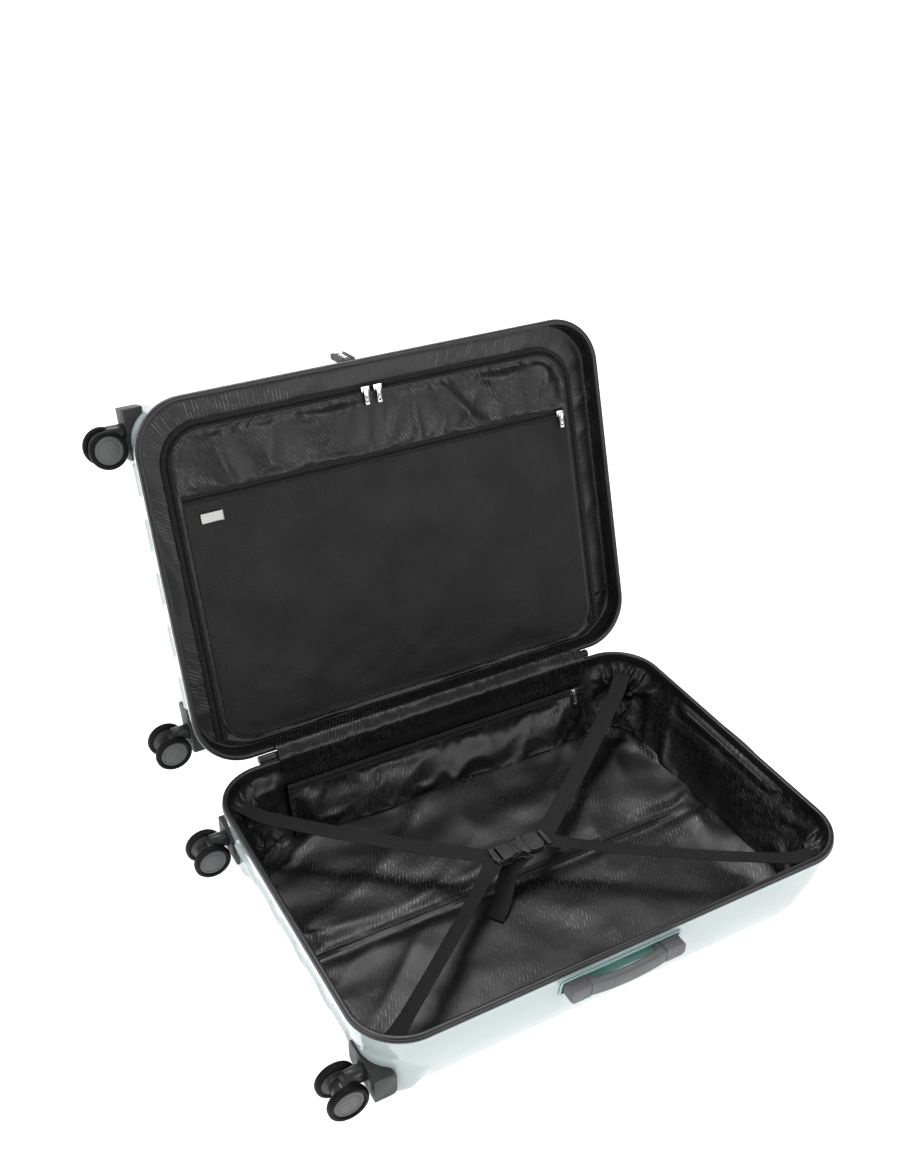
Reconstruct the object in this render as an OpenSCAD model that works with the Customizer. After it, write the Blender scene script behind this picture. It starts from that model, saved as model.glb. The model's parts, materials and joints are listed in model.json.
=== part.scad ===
// Hard-shell suitcase on four twin-wheel casters, lying open on its fabric hinge.
// X runs along the length with the wheels at -X, Y across the width with the side
// handle at -Y and the hinge at +Y, and Z up from the ribs that the base rests on.
// The lid is drawn shut, in the base's own mirrored frame, and then swung open.

/* [Shells] */
// Length of each shell at its rim
shell_l = 700; // [680:5:720]
// Width of each shell at its rim
shell_w = 505; // [495:5:515]
// Depth of each half, from its resting ribs to its rim
half_d = 150; // [145:1:155]
// Wall thickness of the moulded shells
shell_t = 3; // [2.5:0.5:3]
// Corner radius of the rim seen from above
corner_r = 70; // [60:5:75]
// How far the walls lean in from rim to floor
side_draft = 17; // [14:1:20]
// Sideways reach of the round between wall and floor
side_round = 40; // [36:1:44]
// Height of the long ribs on the broad faces
rib_h = 3.5; // [3:0.5:4]
// Number of long ribs on each broad face
rib_count = 5; // [3:2:5]
// Height of the rubber gasket on each rim
rim_h = 7; // [6:0.5:8]

/* [Hinge] */
// Angle that the lid stands open
lid_open = 108.56; // [0:0.01:180]
// Gap between the two rims when shut
closed_gap = 2; // [2:0.5:3]
// Distance of the hinge axis outside the rim
hinge_out = 6.66; // [6.4:0.01:8]

/* [Casters] */
// Radius of each wheel
wheel_r = 25.5; // [24:0.5:26]
// Width of each wheel
wheel_w = 11; // [9:0.5:11]
// Distance between the middles of a caster's two wheels
wheel_track = 34; // [34:0.5:36]
// Distance from the swivel axis to the axle
caster_trail = 17; // [15:0.5:20]
// Radius of the axle pin
axle_r = 3; // [2.5:0.5:3]
// Radius of the swivel stem
stem_r = 5; // [4:0.5:5]
// Swing of the first caster from hanging straight down
first_swing = -15; // [-30:1:30]

/* [Handles] */
// Length of a carry handle over its end caps
handle_l = 165; // [160:1:168]
// Height of a carry handle
handle_h = 21; // [20:0.5:22]
// How far a carry handle stands out
handle_out = 20; // [19:0.5:21]
// Place of the side handle along the length
side_handle_x = -18; // [-30:1:10]
// Distance between the two trolley tubes
trolley_track = 140; // [130:2:144]

/* [Lining] */
// Height of the base lining's floor above the resting face
floor_z = 31; // [31:0.5:34]
// Depth of the lid's divider below its rim
divider_v = 24; // [22:1:26]
// Width of the packing straps
strap_w = 25; // [20:1:30]

/* [Hidden] */
$fn = 48;

half_l = shell_l / 2;
half_w = shell_w / 2;
shell_top = half_d - rim_h;
closed_h = 2 * half_d + closed_gap;
hinge_y = half_w + hinge_out;
hinge_z = half_d + closed_gap / 2;
gap = 0.2;                       // room round a piece set into a shell
slice = 0.02;                    // thickness of one contour slice of a shell
slices = 8;
lining_gap = 1;
lining_t = 1.5;
rib_w = 44;
rib_pitch = 75;
rib_top = 104;                   // height at which the ribs end on the end walls

// Raised corners that carry the casters
pod_x = 10;
pod_y = 13;
pod_r = 45;
pod_z = [36, 110];
pod_l = 88;
pod_w = 102;

// Casters, in a frame on the swivel axis at the housing's face
housing_t = 3;
housing_x = half_l - pod_x + housing_t;
housing_y = half_w - pod_y + housing_t;
housing_l = 28;
housing_w = 68;
housing_z = [56, 92];
swivel_y = half_w - 39;
swivel_z = 78;
boss_r = 11;
boss_l = 21;
running = 0.05;
axle_x = 28;                     // from the housing's face out to the axle
fork_w = wheel_track - wheel_w - 3;

// Carry handles, in a frame on the wall with -Y outwards
handle_z = half_d - rim_h - 13 - handle_h / 2;
wall_in = 3.4;                   // lean of the wall at the handles' height
wall_lean = 9.6;                 // slope of the wall there
flange_out = 1.9;
cap_l = 28;
tray_d = 11;
tray_t = 1.5;
grip_t = 9;
grip_bow = 4;
tongue = [13.5, 5, 14];

// Trolley handle
tube = [22, 16];
tube_t = 1;
tube_play = 0.3;
tube_z = 17.5;
tube_x = [-276, 298];
bezel_x = [270, 322];
bezel_w = 105;
bezel_z = [4.5, 30];
pocket_w = 88;
pocket_x = 300;
grip_x = [303, 320];
grip_w = 84;
button = [30, 10.4];

// Divider and zips in the lid
panel_x = 300;
panel_y = [half_w - 452, half_w - 20];
panel_r = 42;
zip_w = 16;
mesh_zip_y = half_w - 366;
panel_z = half_d - divider_v;
slider = [12, 8, 3.6];
tab = [6.5, 24, 1.6];
pin_r = 1.2;

// Lock on the lid's free edge
lock_x = -37;
lock = [22, 6.5, 40];
lock_tilt = 11;
lock_sunk = 3.8;
dial_r = 3.3;
dial_w = 4.6;
dial_pitch = 7;
dial_deep = 1.8;

shell_colour = [0.86, 0.92, 0.91];
trim_colour = [0.2, 0.2, 0.2];
cloth_colour = [0.09, 0.09, 0.1];
metal_colour = [0.75, 0.76, 0.78];

// A rectangle with round corners, as points: half length, half width, radius
function rounded(hx, hy, r, n = 6) = [
    for (q = [0:3], k = [0:n])
        let (a = 90 * (q + k / n), sx = q == 0 || q == 3 ? 1 : -1, sy = q < 2 ? 1 : -1)
            [sx * (hx - r) + r * cos(a), sy * (hy - r) + r * sin(a)]];

// Lean of the wall at angle a along its quarter-ellipse, 0 at the top and 90 at the floor
function lean(a) = side_draft * sin(a) + side_round * (1 - cos(a));

// A point of the shut lid, swung to where it stands open
function opened(p) =
    let (y = p[1] - hinge_y, z = p[2] - hinge_z, c = cos(lid_open), s = sin(lid_open))
        [p[0], hinge_y + y * c + z * s, hinge_z - y * s + z * c];

module in_lid() {
    translate([0, hinge_y, hinge_z]) rotate([-lid_open, 0, 0]) translate([0, -hinge_y, -hinge_z])
        translate([0, 0, closed_h]) mirror([0, 0, 1]) children();
}

// A block from its lowest to its highest corner
module block(low, high) {
    translate(low) cube(high - low);
}

// The shell's body, grown outwards by grow and carried straight up by collar
module tub(grow, collar = 0) {
    hull() {
        translate([0, 0, shell_top - slice]) linear_extrude(slice + collar)
            polygon(rounded(half_l + grow, half_w + grow, corner_r + grow));
        for (i = [1:slices])
            let (a = 90 * i / slices, e = lean(a) - grow)
                translate([0, 0, shell_top - (shell_top - rib_h + grow) * sin(a)])
                    linear_extrude(slice)
                        polygon(rounded(half_l - e, half_w - e, corner_r - 0.3 * e));
    }
}

module ribs() {
    intersection() {
        tub(rib_h);
        for (i = [0:rib_count - 1])
            let (y = (i - (rib_count - 1) / 2) * rib_pitch)
                block([-half_l, y - rib_w / 2, -1], [half_l, y + rib_w / 2, rib_top]);
    }
}

module pods() {
    intersection() {
        translate([0, 0, pod_z[0]]) linear_extrude(pod_z[1] - pod_z[0])
            polygon(rounded(half_l - pod_x, half_w - pod_y, pod_r));
        for (s = [-1, 1])
            translate([-half_l, s * (half_w - pod_w / 2) - pod_w / 2, 0])
                cube([pod_l, pod_w, half_d]);
    }
}

// The space of one caster housing's corner plate, at the -Y side
module housing_space(grow) {
    z0 = housing_z[0] - grow;
    z1 = housing_z[1] + grow;
    middle = (z0 + z1) / 2;
    round_r = 7;
    difference() {
        intersection() {
            block([-housing_x - grow, -housing_y - grow, z0],
                  [-housing_x + housing_l + grow, -housing_y + housing_w + grow, z1]);
            translate([-housing_x + housing_l + grow - 100, 0, middle]) rotate([90, 0, 0])
                linear_extrude(half_w + 10) polygon(rounded(100, (z1 - z0) / 2, round_r));
            translate([-half_l - 10, -housing_y + housing_w + grow - 100, middle])
                rotate([90, 0, 90]) linear_extrude(half_l)
                    polygon(rounded(100, (z1 - z0) / 2, round_r));
        }
        translate([0, 0, z0 - 1]) linear_extrude(z1 - z0 + 2)
            polygon(rounded(half_l - pod_x - grow, half_w - pod_y - grow, pod_r));
    }
}

module shell() {
    difference() {
        union() {
            tub(0);
            ribs();
            pods();
        }
        tub(-shell_t, 1);
        for (s = [0, 1]) mirror([0, s, 0]) {
            housing_space(gap);
            translate([-half_l, -swivel_y, swivel_z]) rotate([0, 90, 0])
                cylinder(r = boss_r + gap, h = 30);
        }
        children();
    }
}

module rim() {
    difference() {
        union() {
            translate([0, 0, shell_top]) linear_extrude(rim_h)
                polygon(rounded(half_l, half_w, corner_r));
            translate([0, 0, shell_top - 7]) linear_extrude(8)
                polygon(rounded(half_l - shell_t - 1.6, half_w - shell_t - 1.6, corner_r - 4));
        }
        translate([0, 0, shell_top - 8]) linear_extrude(rim_h + 10)
            polygon(rounded(half_l - shell_t - 3.6, half_w - shell_t - 3.6, corner_r - 6));
    }
}

// Lining over the wheel bosses and whatever else stands into the shell
module bump(low, high) {
    difference() {
        intersection() {
            tub(-shell_t - lining_gap);
            block(low, high);
        }
        block([low[0] - 50, low[1] + lining_t, low[2] + lining_t],
              [high[0] - lining_t, high[1] - lining_t, high[2] - lining_t]);
    }
}

module lining(floor_height) {
    top = shell_top - 8;
    outer = -shell_t - lining_gap;
    boss = boss_r + 5;
    difference() {
        tub(outer);
        difference() {
            tub(outer - lining_t, 1);
            block([-half_l, -half_w, -1], [half_l, half_w, floor_height + lining_t]);
        }
        block([-half_l, -half_w, -1], [half_l, half_w, floor_height]);
        block([-half_l, -half_w, top], [half_l, half_w, half_d]);
        for (s = [-1, 1])
            translate([-half_l, s * swivel_y, swivel_z])
                cube([2 * 29, 2 * boss - 2, 2 * boss - 2], center = true);
        children();
    }
    for (s = [-1, 1])
        bump([-half_l, s * swivel_y - boss, swivel_z - boss],
             [-half_l + 31, s * swivel_y + boss, swivel_z + boss]);
}

module on_side() {
    translate([side_handle_x, -half_w + wall_in, handle_z]) children();
}

module on_top() {
    translate([half_l - wall_in, 0, handle_z]) rotate([0, 0, 90]) children();
}

module tray_hole() {
    block([-handle_l / 2 - 3 - gap, -10, -handle_h / 2 - 2 - gap],
          [handle_l / 2 + 3 + gap, tray_d + lining_t + 1, handle_h / 2 + 2 + gap]);
}

// A tray sunk into the wall, its thin flange leaning as the wall does
module tray() {
    out = [handle_l / 2 + 3, handle_h / 2 + 2];
    difference() {
        union() {
            intersection() {
                block([-out[0], -6, -out[1]], [out[0], tray_d, out[1]]);
                rotate([wall_lean, 0, 0]) block([-out[0], -flange_out, -40], [out[0], 40, 40]);
            }
            rotate([wall_lean, 0, 0]) translate([0, -0.5, 0]) rotate([90, 0, 0])
                linear_extrude(flange_out - 0.5) polygon(rounded(out[0] + 2, out[1] + 2, 5));
        }
        block([-out[0] + tray_t, -10, -out[1] + tray_t],
              [out[0] - tray_t, tray_d - tray_t, out[1] - tray_t]);
    }
}

module handle_mounts() {
    z = handle_h / 2;
    x0 = handle_l / 2 - cap_l;
    for (s = [0, 1]) mirror([s, 0, 0])
        difference() {
            rotate([90, 0, 0]) translate([0, 0, -tray_d + tray_t + gap])
                linear_extrude(handle_out + tray_d - tray_t - gap)
                    polygon([[x0, -z], [x0 + cap_l - 4, -z], [x0 + cap_l, -z + 4],
                             [x0 + cap_l, z - 4], [x0 + cap_l - 4, z], [x0, z]]);
            block([x0 - 1, -handle_out + 2.5, -tongue[2] / 2 - 0.4],
                  [x0 + tongue[0] + 1, -3.5, tongue[2] / 2 + 0.4]);
        }
}

module handle_grip() {
    x0 = handle_l / 2 - cap_l - 0.4;
    bow = [for (k = [0:12]) let (a = -1 + k / 6) [a * x0, -handle_out - grip_bow * (1 - a * a)]];
    back = [for (k = [0:12]) let (a = 1 - k / 6)
        [a * (x0 - 10), -handle_out + grip_t - 0.8 * grip_bow * (1 - a * a)]];
    translate([0, 0, -handle_h / 2 + 1]) linear_extrude(handle_h - 2)
        polygon(concat(bow, [[x0, -4]], [[x0 - 8, -4]], back, [[-x0 + 8, -4]], [[-x0, -4]]));
    for (s = [-1, 1])
        translate([s * (x0 + tongue[0] / 2 - 1), -4 - tongue[1] / 2, 0])
            cube([tongue[0], tongue[1], tongue[2]], center = true);
}

// One pair of hollow trolley tubes: stage 0 outside, 1 middle, 2 inside
module tubes(stage, x0, x1) {
    size = [for (k = [0, 1]) tube[k] - 2 * stage * (tube_t + tube_play)];
    for (s = [-1, 1])
        translate([0, s * trolley_track / 2, tube_z]) rotate([90, 0, 90])
            translate([0, 0, x0]) linear_extrude(x1 - x0) difference() {
                square(size, center = true);
                square([size[0] - 2 * tube_t, size[1] - 2 * tube_t], center = true);
            }
}

module tube_holes(x0, x1) {
    for (s = [-1, 1])
        translate([x0, s * trolley_track / 2 - tube[0] / 2 - gap, tube_z - tube[1] / 2 - gap])
            cube([x1 - x0, tube[0] + 2 * gap, tube[1] + 2 * gap]);
}

module strap(from, to) {
    d = to - from;
    translate(from) rotate([0, -asin(d[2] / norm(d)), atan2(d[1], d[0])])
        translate([0, -strap_w / 2, 0]) cube([norm(d), strap_w, 1.5]);
}

// A zip slider lying on a surface that faces +Z, its zip along X, with a pin for its pull tab
module zip_slider() {
    block([-slider[0] / 2, -slider[1] / 2, 0], [slider[0] / 2, slider[1] / 2, slider[2]]);
    cylinder(r = pin_r, h = slider[2] + tab[2] + 0.9);
}

// The pull tab on it, hanging towards +Y from the pin
module zip_puller() {
    translate([0, 0, slider[2] + 0.3]) linear_extrude(tab[2]) difference() {
        polygon([for (p = rounded(tab[0] / 2, tab[1] / 2, 1.5)) p + [0, tab[1] / 2 - 3]]);
        circle(r = pin_r + running);
        translate([0, tab[1] - 7]) circle(r = 1.5);
    }
}

module on_wall_pocket() {
    translate([5, 212.6, floor_z + 4]) rotate([74, 0, 0]) children();
}

module caster_place(i) {
    y = i == 1 || i == 4 ? -swivel_y : swivel_y;
    low = [-housing_x, y, swivel_z];
    high = opened([-housing_x, y, closed_h - swivel_z]);
    translate(i < 3 ? high : low) rotate([i == 1 ? first_swing : 0, 0, 0]) children();
}

module housing() {
    difference() {
        union() {
            housing_space(0);
            translate([-housing_x, -swivel_y, swivel_z]) rotate([0, 90, 0])
                cylinder(r = boss_r, h = boss_l);
        }
        translate([-housing_x - 1, -swivel_y, swivel_z]) rotate([0, 90, 0])
            cylinder(r = stem_r + running, h = boss_l + 2);
    }
}

module housing_node(i) {
    color(trim_colour) {
        if (i == 1) in_lid() housing();
        if (i == 2) in_lid() mirror([0, 1, 0]) housing();
        if (i == 3) mirror([0, 1, 0]) housing();
        if (i == 4) housing();
    }
}

module fork(i) {
    color(trim_colour) caster_place(i) {
        rotate([0, -90, 0]) translate([0, 0, 0.4]) cylinder(r = fork_w / 2 + 0.8, h = axle_x - 5);
        rotate([0, 90, 0]) translate([0, 0, -1]) cylinder(r = stem_r, h = boss_l - 1);
        translate([-axle_x, 0, -caster_trail]) rotate([90, 0, 0]) {
            cylinder(r = 12, h = fork_w, center = true);
            cylinder(r = axle_r, h = wheel_track + wheel_w - 6, center = true);
        }
        block([-axle_x, -fork_w / 2 + 2, -caster_trail], [-axle_x + 17, fork_w / 2 - 2, 0]);
    }
}

module wheel(i, side) {
    color(trim_colour) caster_place(i)
        translate([-axle_x, side * wheel_track / 2, -caster_trail])
            rotate([side * 90, 0, 0]) difference() {
                rotate_extrude() polygon(concat([[0, -wheel_w / 2]],
                    [for (k = [0:6]) let (a = -90 + 90 * k / 6)
                        [wheel_r - 3 + 3 * cos(a), -wheel_w / 2 + 3 + 3 * sin(a)]],
                    [for (k = [0:6]) let (a = 90 * k / 6)
                        [wheel_r - 2 + 2 * cos(a), wheel_w / 2 - 2 + 2 * sin(a)]],
                    [[0, wheel_w / 2]]));
                translate([0, 0, -wheel_w / 2 + 2.6])
                    cylinder(r = axle_r + running, h = wheel_w);
                translate([0, 0, wheel_w / 2 - 2]) difference() {
                    cylinder(r = wheel_r - 5, h = 3);
                    translate([0, 0, -1]) cylinder(r = 8, h = 5);
                }
            }
}

// --- Base ---

module base_shell() {
    color(shell_colour) shell() {
        on_side() tray_hole();
        on_top() tray_hole();
        block([bezel_x[0] - gap, -bezel_w - gap, bezel_z[0] - gap],
              [half_l, bezel_w + gap, bezel_z[1] + gap]);
    }
}

module base_rim() {
    color(trim_colour) rim();
}

module base_lining() {
    hole = [handle_l / 2 + 5, handle_h / 2 + 4];
    color(cloth_colour) {
        lining(floor_z) {
            on_side() block([-hole[0], -20, -hole[1]], [hole[0], tray_d + 2, hole[1]]);
            on_top() block([-hole[0], -20, -hole[1]], [hole[0], tray_d + 2, hole[1]]);
        }
        for (end = [0, 1])
            if (end == 0) on_side() tray_cover(hole);
            else on_top() tray_cover(hole);
    }
}

module tray_cover(hole) {
    difference() {
        block([-hole[0], 6.5, -hole[1]], [hole[0], tray_d + 2, hole[1]]);
        block([-hole[0] + 1, -1, -hole[1] + 1], [hole[0] - 1, tray_d + 1, hole[1] - 1]);
    }
}

module floor_zip() {
    color(cloth_colour)
        block([-305, -6, floor_z + lining_t + 0.2], [270, 6, floor_z + lining_t + 2]);
}

module wall_pocket() {
    color(cloth_colour) on_wall_pocket() block([-248, 0, -3], [248, 70, 0]);
}

module wall_pocket_zip() {
    color(cloth_colour) on_wall_pocket() block([-248, 70.3, -3], [248, 82, -0.6]);
}

module wall_zip_slider() {
    color(metal_colour) on_wall_pocket() translate([228, 76, -0.3]) zip_slider();
}

module wall_zip_puller() {
    color(metal_colour) on_wall_pocket() translate([228, 76, -0.3]) mirror([0, 1, 0]) zip_puller();
}

buckle_z = 80;
strap_end = [316, 218, 108];

module left_straps() {
    color(cloth_colour) for (s = [-1, 1])
        strap([-strap_end[0], s * strap_end[1], strap_end[2]], [-58, s * 6, buckle_z + 5]);
}

module right_straps() {
    color(cloth_colour) for (s = [-1, 1])
        strap([strap_end[0], s * strap_end[1], strap_end[2]], [47, s * 6, buckle_z + 5]);
}

module buckle_socket() {
    color(trim_colour) difference() {
        block([-49, -17, buckle_z - 2], [4, 17, buckle_z + 12]);
        block([-36, -14, buckle_z + 1], [5, 14, buckle_z + 9]);
        for (s = [-1, 1])
            block([-22, s * 17 - 5, buckle_z + 2], [-8, s * 17 + 5, buckle_z + 8]);
    }
    color(trim_colour) block([-49, -17, buckle_z - 2], [-47, 17, buckle_z + 3]);
}

module buckle_plug() {
    color(trim_colour) {
        block([4.4, -16, buckle_z - 1], [38, 16, buckle_z + 11]);
        for (s = [-1, 1])
            block([-28, s * 9 - 3, buckle_z + 2], [5, s * 9 + 3, buckle_z + 8]);
    }
}

module side_handle_tray() {
    color([0.33, 0.49, 0.47]) on_side() tray();
}

module side_handle_mounts() {
    color(trim_colour) on_side() handle_mounts();
}

module side_handle_grip() {
    color(trim_colour) on_side() handle_grip();
}

module top_handle_mounts() {
    color(trim_colour) on_top() {
        tray();
        handle_mounts();
        for (s = [-1, 1])
            translate([s * (handle_l / 2 - cap_l / 2), tray_d - tray_t, 0])
                cube([cap_l - 4, 1, handle_h - 4], center = true);
    }
}

module top_handle_grip() {
    color(trim_colour) on_top() handle_grip();
}

module trolley_bezel() {
    color(trim_colour) difference() {
        block([bezel_x[0], -bezel_w, bezel_z[0]], [bezel_x[1], bezel_w, bezel_z[1]]);
        block([pocket_x, -pocket_w, bezel_z[0] + 2], [bezel_x[1] + 1, pocket_w, bezel_z[1] - 2]);
        tube_holes(bezel_x[0] - 1, pocket_x + 1);
        for (s = [-1, 1])
            block([bezel_x[0] - 1, s * 25 - 20, bezel_z[0] + 3],
                  [bezel_x[0] + 22, s * 25 + 20, bezel_z[1] - 3]);
    }
}

module trolley_foot() {
    color(trim_colour) difference() {
        block([tube_x[0] - 12, -bezel_w + 10, rib_h + shell_t + 0.4],
              [tube_x[0] + 12, bezel_w - 10, floor_z - 0.8]);
        tube_holes(tube_x[0] - 0.3, tube_x[0] + 13);
        block([tube_x[0] - 4, -45, rib_h], [tube_x[0] + 13, 45, floor_z - 4]);
    }
}

module trolley_outer_tubes() {
    color(metal_colour) tubes(0, tube_x[0], tube_x[1]);
}

module trolley_middle_tubes() {
    color(metal_colour) tubes(1, tube_x[0] + 6, tube_x[1] + 1);
}

module trolley_inner_tubes() {
    color(metal_colour) tubes(2, tube_x[0] + 12, grip_x[0] + 6);
}

module trolley_grip() {
    inner = [for (k = [0, 1]) tube[k] - 4 * (tube_t + tube_play)];
    color(trim_colour) difference() {
        translate([grip_x[0], 0, tube_z]) rotate([90, 0, 90]) linear_extrude(grip_x[1] - grip_x[0])
            polygon(rounded(grip_w, 9, 7));
        for (s = [-1, 1])
            translate([grip_x[0] + 2.6, s * trolley_track / 2, tube_z])
                cube([7, inner[0] + 0.2, inner[1] + 0.2], center = true);
        block([grip_x[1] - 9, -button[0] / 2 - 0.3, tube_z - button[1] / 2 - 0.3],
              [grip_x[1] + 1, button[0] / 2 + 0.3, tube_z + button[1] / 2 + 0.3]);
    }
}

module trolley_button() {
    color(metal_colour) translate([grip_x[1] - 5.5, 0, tube_z]) rotate([90, 0, 90])
        linear_extrude(6.5) polygon(rounded(button[0] / 2, button[1] / 2, 4));
}

module hinge_fabric() {
    color(cloth_colour) translate([-246, hinge_y, hinge_z]) rotate([0, 90, 0])
        cylinder(r = 4, h = 504);
}

// --- Lid ---

module lock_place() {
    translate([lock_x, -half_w + 0.9, half_d - 14]) rotate([-lock_tilt, 0, 0])
        translate([0, lock_sunk, -lock[2] / 2]) children();
}

module lid_shell() {
    color(shell_colour) in_lid() shell()
        lock_place() block([-lock[0] / 2 - gap, -lock[1] - 5, -lock[2] / 2 - gap],
                           [lock[0] / 2 + gap, gap, lock[2] / 2 + gap]);
}

module lid_rim() {
    color(trim_colour) in_lid() rim();
}

module lid_lining() {
    z = panel_z - 4;
    color(cloth_colour) in_lid() {
        lining(rib_h + shell_t + lining_gap);
        difference() {
            intersection() {
                tub(-shell_t - lining_gap);
                block([-half_l, -half_w, z - lining_t], [half_l, half_w, z]);
            }
            translate([0, (panel_y[0] + panel_y[1]) / 2, z - 5]) linear_extrude(10)
                polygon(rounded(panel_x - 6, (panel_y[1] - panel_y[0]) / 2 - 6, panel_r));
        }
    }
}

module panel_plate(x, y0, y1, r, z0, z1) {
    translate([0, (y0 + y1) / 2, z0]) linear_extrude(z1 - z0)
        polygon(rounded(x, (y1 - y0) / 2, r));
}

module divider_panel() {
    color(cloth_colour) in_lid()
        panel_plate(panel_x, panel_y[0], panel_y[1], panel_r, panel_z - 3, panel_z);
}

module divider_zip() {
    color(cloth_colour) in_lid() difference() {
        panel_plate(panel_x + zip_w + 1, panel_y[0] - zip_w - 1, panel_y[1] + 8, panel_r + zip_w,
                    panel_z - 2.6, panel_z);
        panel_plate(panel_x + 1, panel_y[0] - 1, panel_y[1] + 1, panel_r + 1,
                    panel_z - 5, panel_z + 5);
        block([-half_l, panel_y[1] - 10, 0], [half_l, half_w, half_d]);
    }
}

module mesh_pocket() {
    color(cloth_colour) in_lid()
        panel_plate(panel_x - 2, mesh_zip_y + 8, panel_y[1] - 2, 8, panel_z + 0.6, panel_z + 1.6);
}

module mesh_zip() {
    color(cloth_colour) in_lid()
        block([-panel_x + 2, mesh_zip_y - 6, panel_z + 0.4],
              [panel_x - 2, mesh_zip_y + 6, panel_z + 2]);
}

module label() {
    color("white") in_lid()
        block([-279, half_w - 345, panel_z + 1.9], [-248, half_w - 332, panel_z + 2.5]);
}

module on_divider_zip(x) {
    in_lid() translate([x, panel_y[0] - 1 - zip_w / 2, panel_z + 0.3]) children();
}

module divider_slider_1() {
    color(metal_colour) on_divider_zip(-17) zip_slider();
}

module divider_puller_1() {
    color(metal_colour) on_divider_zip(-17) zip_puller();
}

module divider_slider_2() {
    color(metal_colour) on_divider_zip(2) zip_slider();
}

module divider_puller_2() {
    color(metal_colour) on_divider_zip(2) zip_puller();
}

module on_mesh_zip() {
    in_lid() translate([panel_x - 12, mesh_zip_y, panel_z + 2.3]) children();
}

module mesh_slider() {
    color(metal_colour) on_mesh_zip() zip_slider();
}

module mesh_puller() {
    color(metal_colour) on_mesh_zip() zip_puller();
}

dial_z = [for (k = [-1:1]) k * dial_pitch - 0.5];

module lock_case() {
    color(trim_colour) in_lid() lock_place() difference() {
        rotate([90, 0, 0]) linear_extrude(lock[1]) polygon(rounded(lock[0] / 2, lock[2] / 2, 4));
        for (z = dial_z)
            translate([0, -lock[1] + dial_deep, z])
                cylinder(r = dial_r + 0.3, h = dial_w + 0.6, center = true);
        block([-6.3, -lock[1] - 1, -18.3], [6.3, -lock[1] + 5, -12.7]);
        for (x = [-6.5, 6.5])
            block([x - 1.2, -lock[1] - 1, 10.5], [x + 1.2, -lock[1] + 4, 18]);
    }
}

module lock_button() {
    color(metal_colour) in_lid() lock_place()
        block([-6, -lock[1] - 1, -18], [6, -lock[1] + 2.6, -13]);
}

module lock_dial(k) {
    color(metal_colour) in_lid() lock_place()
        translate([0, -lock[1] + dial_deep, dial_z[k - 1]])
            cylinder(r = dial_r, h = dial_w, center = true);
}

base_shell();
base_rim();
base_lining();
floor_zip();
wall_pocket();
wall_pocket_zip();
wall_zip_slider();
wall_zip_puller();
left_straps();
right_straps();
buckle_socket();
buckle_plug();
side_handle_tray();
side_handle_mounts();
side_handle_grip();
top_handle_mounts();
top_handle_grip();
trolley_bezel();
trolley_foot();
trolley_outer_tubes();
trolley_middle_tubes();
trolley_inner_tubes();
trolley_grip();
trolley_button();
hinge_fabric();
lid_shell();
lid_rim();
lid_lining();
divider_panel();
divider_zip();
mesh_pocket();
mesh_zip();
label();
divider_slider_1();
divider_puller_1();
divider_slider_2();
divider_puller_2();
mesh_slider();
mesh_puller();
lock_case();
lock_button();
lock_dial(1);  // lock_dial_1
lock_dial(2);  // lock_dial_2
lock_dial(3);  // lock_dial_3
housing_node(1);  // caster_1_housing
fork(1);  // caster_1_fork
wheel(1, 1);  // caster_1_wheel_a
wheel(1, -1);  // caster_1_wheel_b
housing_node(2);  // caster_2_housing
fork(2);  // caster_2_fork
wheel(2, 1);  // caster_2_wheel_a
wheel(2, -1);  // caster_2_wheel_b
housing_node(3);  // caster_3_housing
fork(3);  // caster_3_fork
wheel(3, 1);  // caster_3_wheel_a
wheel(3, -1);  // caster_3_wheel_b
housing_node(4);  // caster_4_housing
fork(4);  // caster_4_fork
wheel(4, 1);  // caster_4_wheel_a
wheel(4, -1);  // caster_4_wheel_b
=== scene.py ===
"""Looks of a hard-shell suitcase that lies open on its hinge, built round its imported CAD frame.

Shapes are drawn in millimetres in a shell's own frame, where X runs along the length with the wheels at -X,
the handle side is -Y, and Z goes from the resting ribs up to the rim. BASE and LID carry them to the row frame.
"""

import json
from math import asin, atan2, ceil, cos, degrees, hypot, pi, radians, sin, sqrt

import bmesh
import bpy
import numpy as np
from mathutils import Matrix, Vector, noise


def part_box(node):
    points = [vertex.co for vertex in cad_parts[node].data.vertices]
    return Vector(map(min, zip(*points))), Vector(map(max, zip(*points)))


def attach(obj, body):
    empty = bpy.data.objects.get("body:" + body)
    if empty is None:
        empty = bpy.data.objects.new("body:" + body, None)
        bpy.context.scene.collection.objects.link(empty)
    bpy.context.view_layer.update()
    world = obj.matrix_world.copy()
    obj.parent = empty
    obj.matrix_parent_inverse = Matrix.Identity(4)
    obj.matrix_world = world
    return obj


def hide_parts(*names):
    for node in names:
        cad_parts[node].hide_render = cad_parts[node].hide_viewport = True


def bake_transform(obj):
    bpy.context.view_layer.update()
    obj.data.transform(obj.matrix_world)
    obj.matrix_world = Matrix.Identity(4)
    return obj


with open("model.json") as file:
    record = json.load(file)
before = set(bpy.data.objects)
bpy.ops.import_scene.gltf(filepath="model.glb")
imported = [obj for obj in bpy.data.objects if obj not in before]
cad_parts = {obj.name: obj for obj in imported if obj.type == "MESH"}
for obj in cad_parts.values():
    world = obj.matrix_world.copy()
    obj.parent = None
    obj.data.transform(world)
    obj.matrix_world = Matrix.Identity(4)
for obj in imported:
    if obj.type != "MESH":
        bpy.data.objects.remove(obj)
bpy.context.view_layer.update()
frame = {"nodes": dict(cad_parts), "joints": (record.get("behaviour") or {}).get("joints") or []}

JOINTS = {j["name"]: j for j in frame["joints"]}
MM = 0.001

# --- Sizes, in millimetres, from the frame ---

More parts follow.
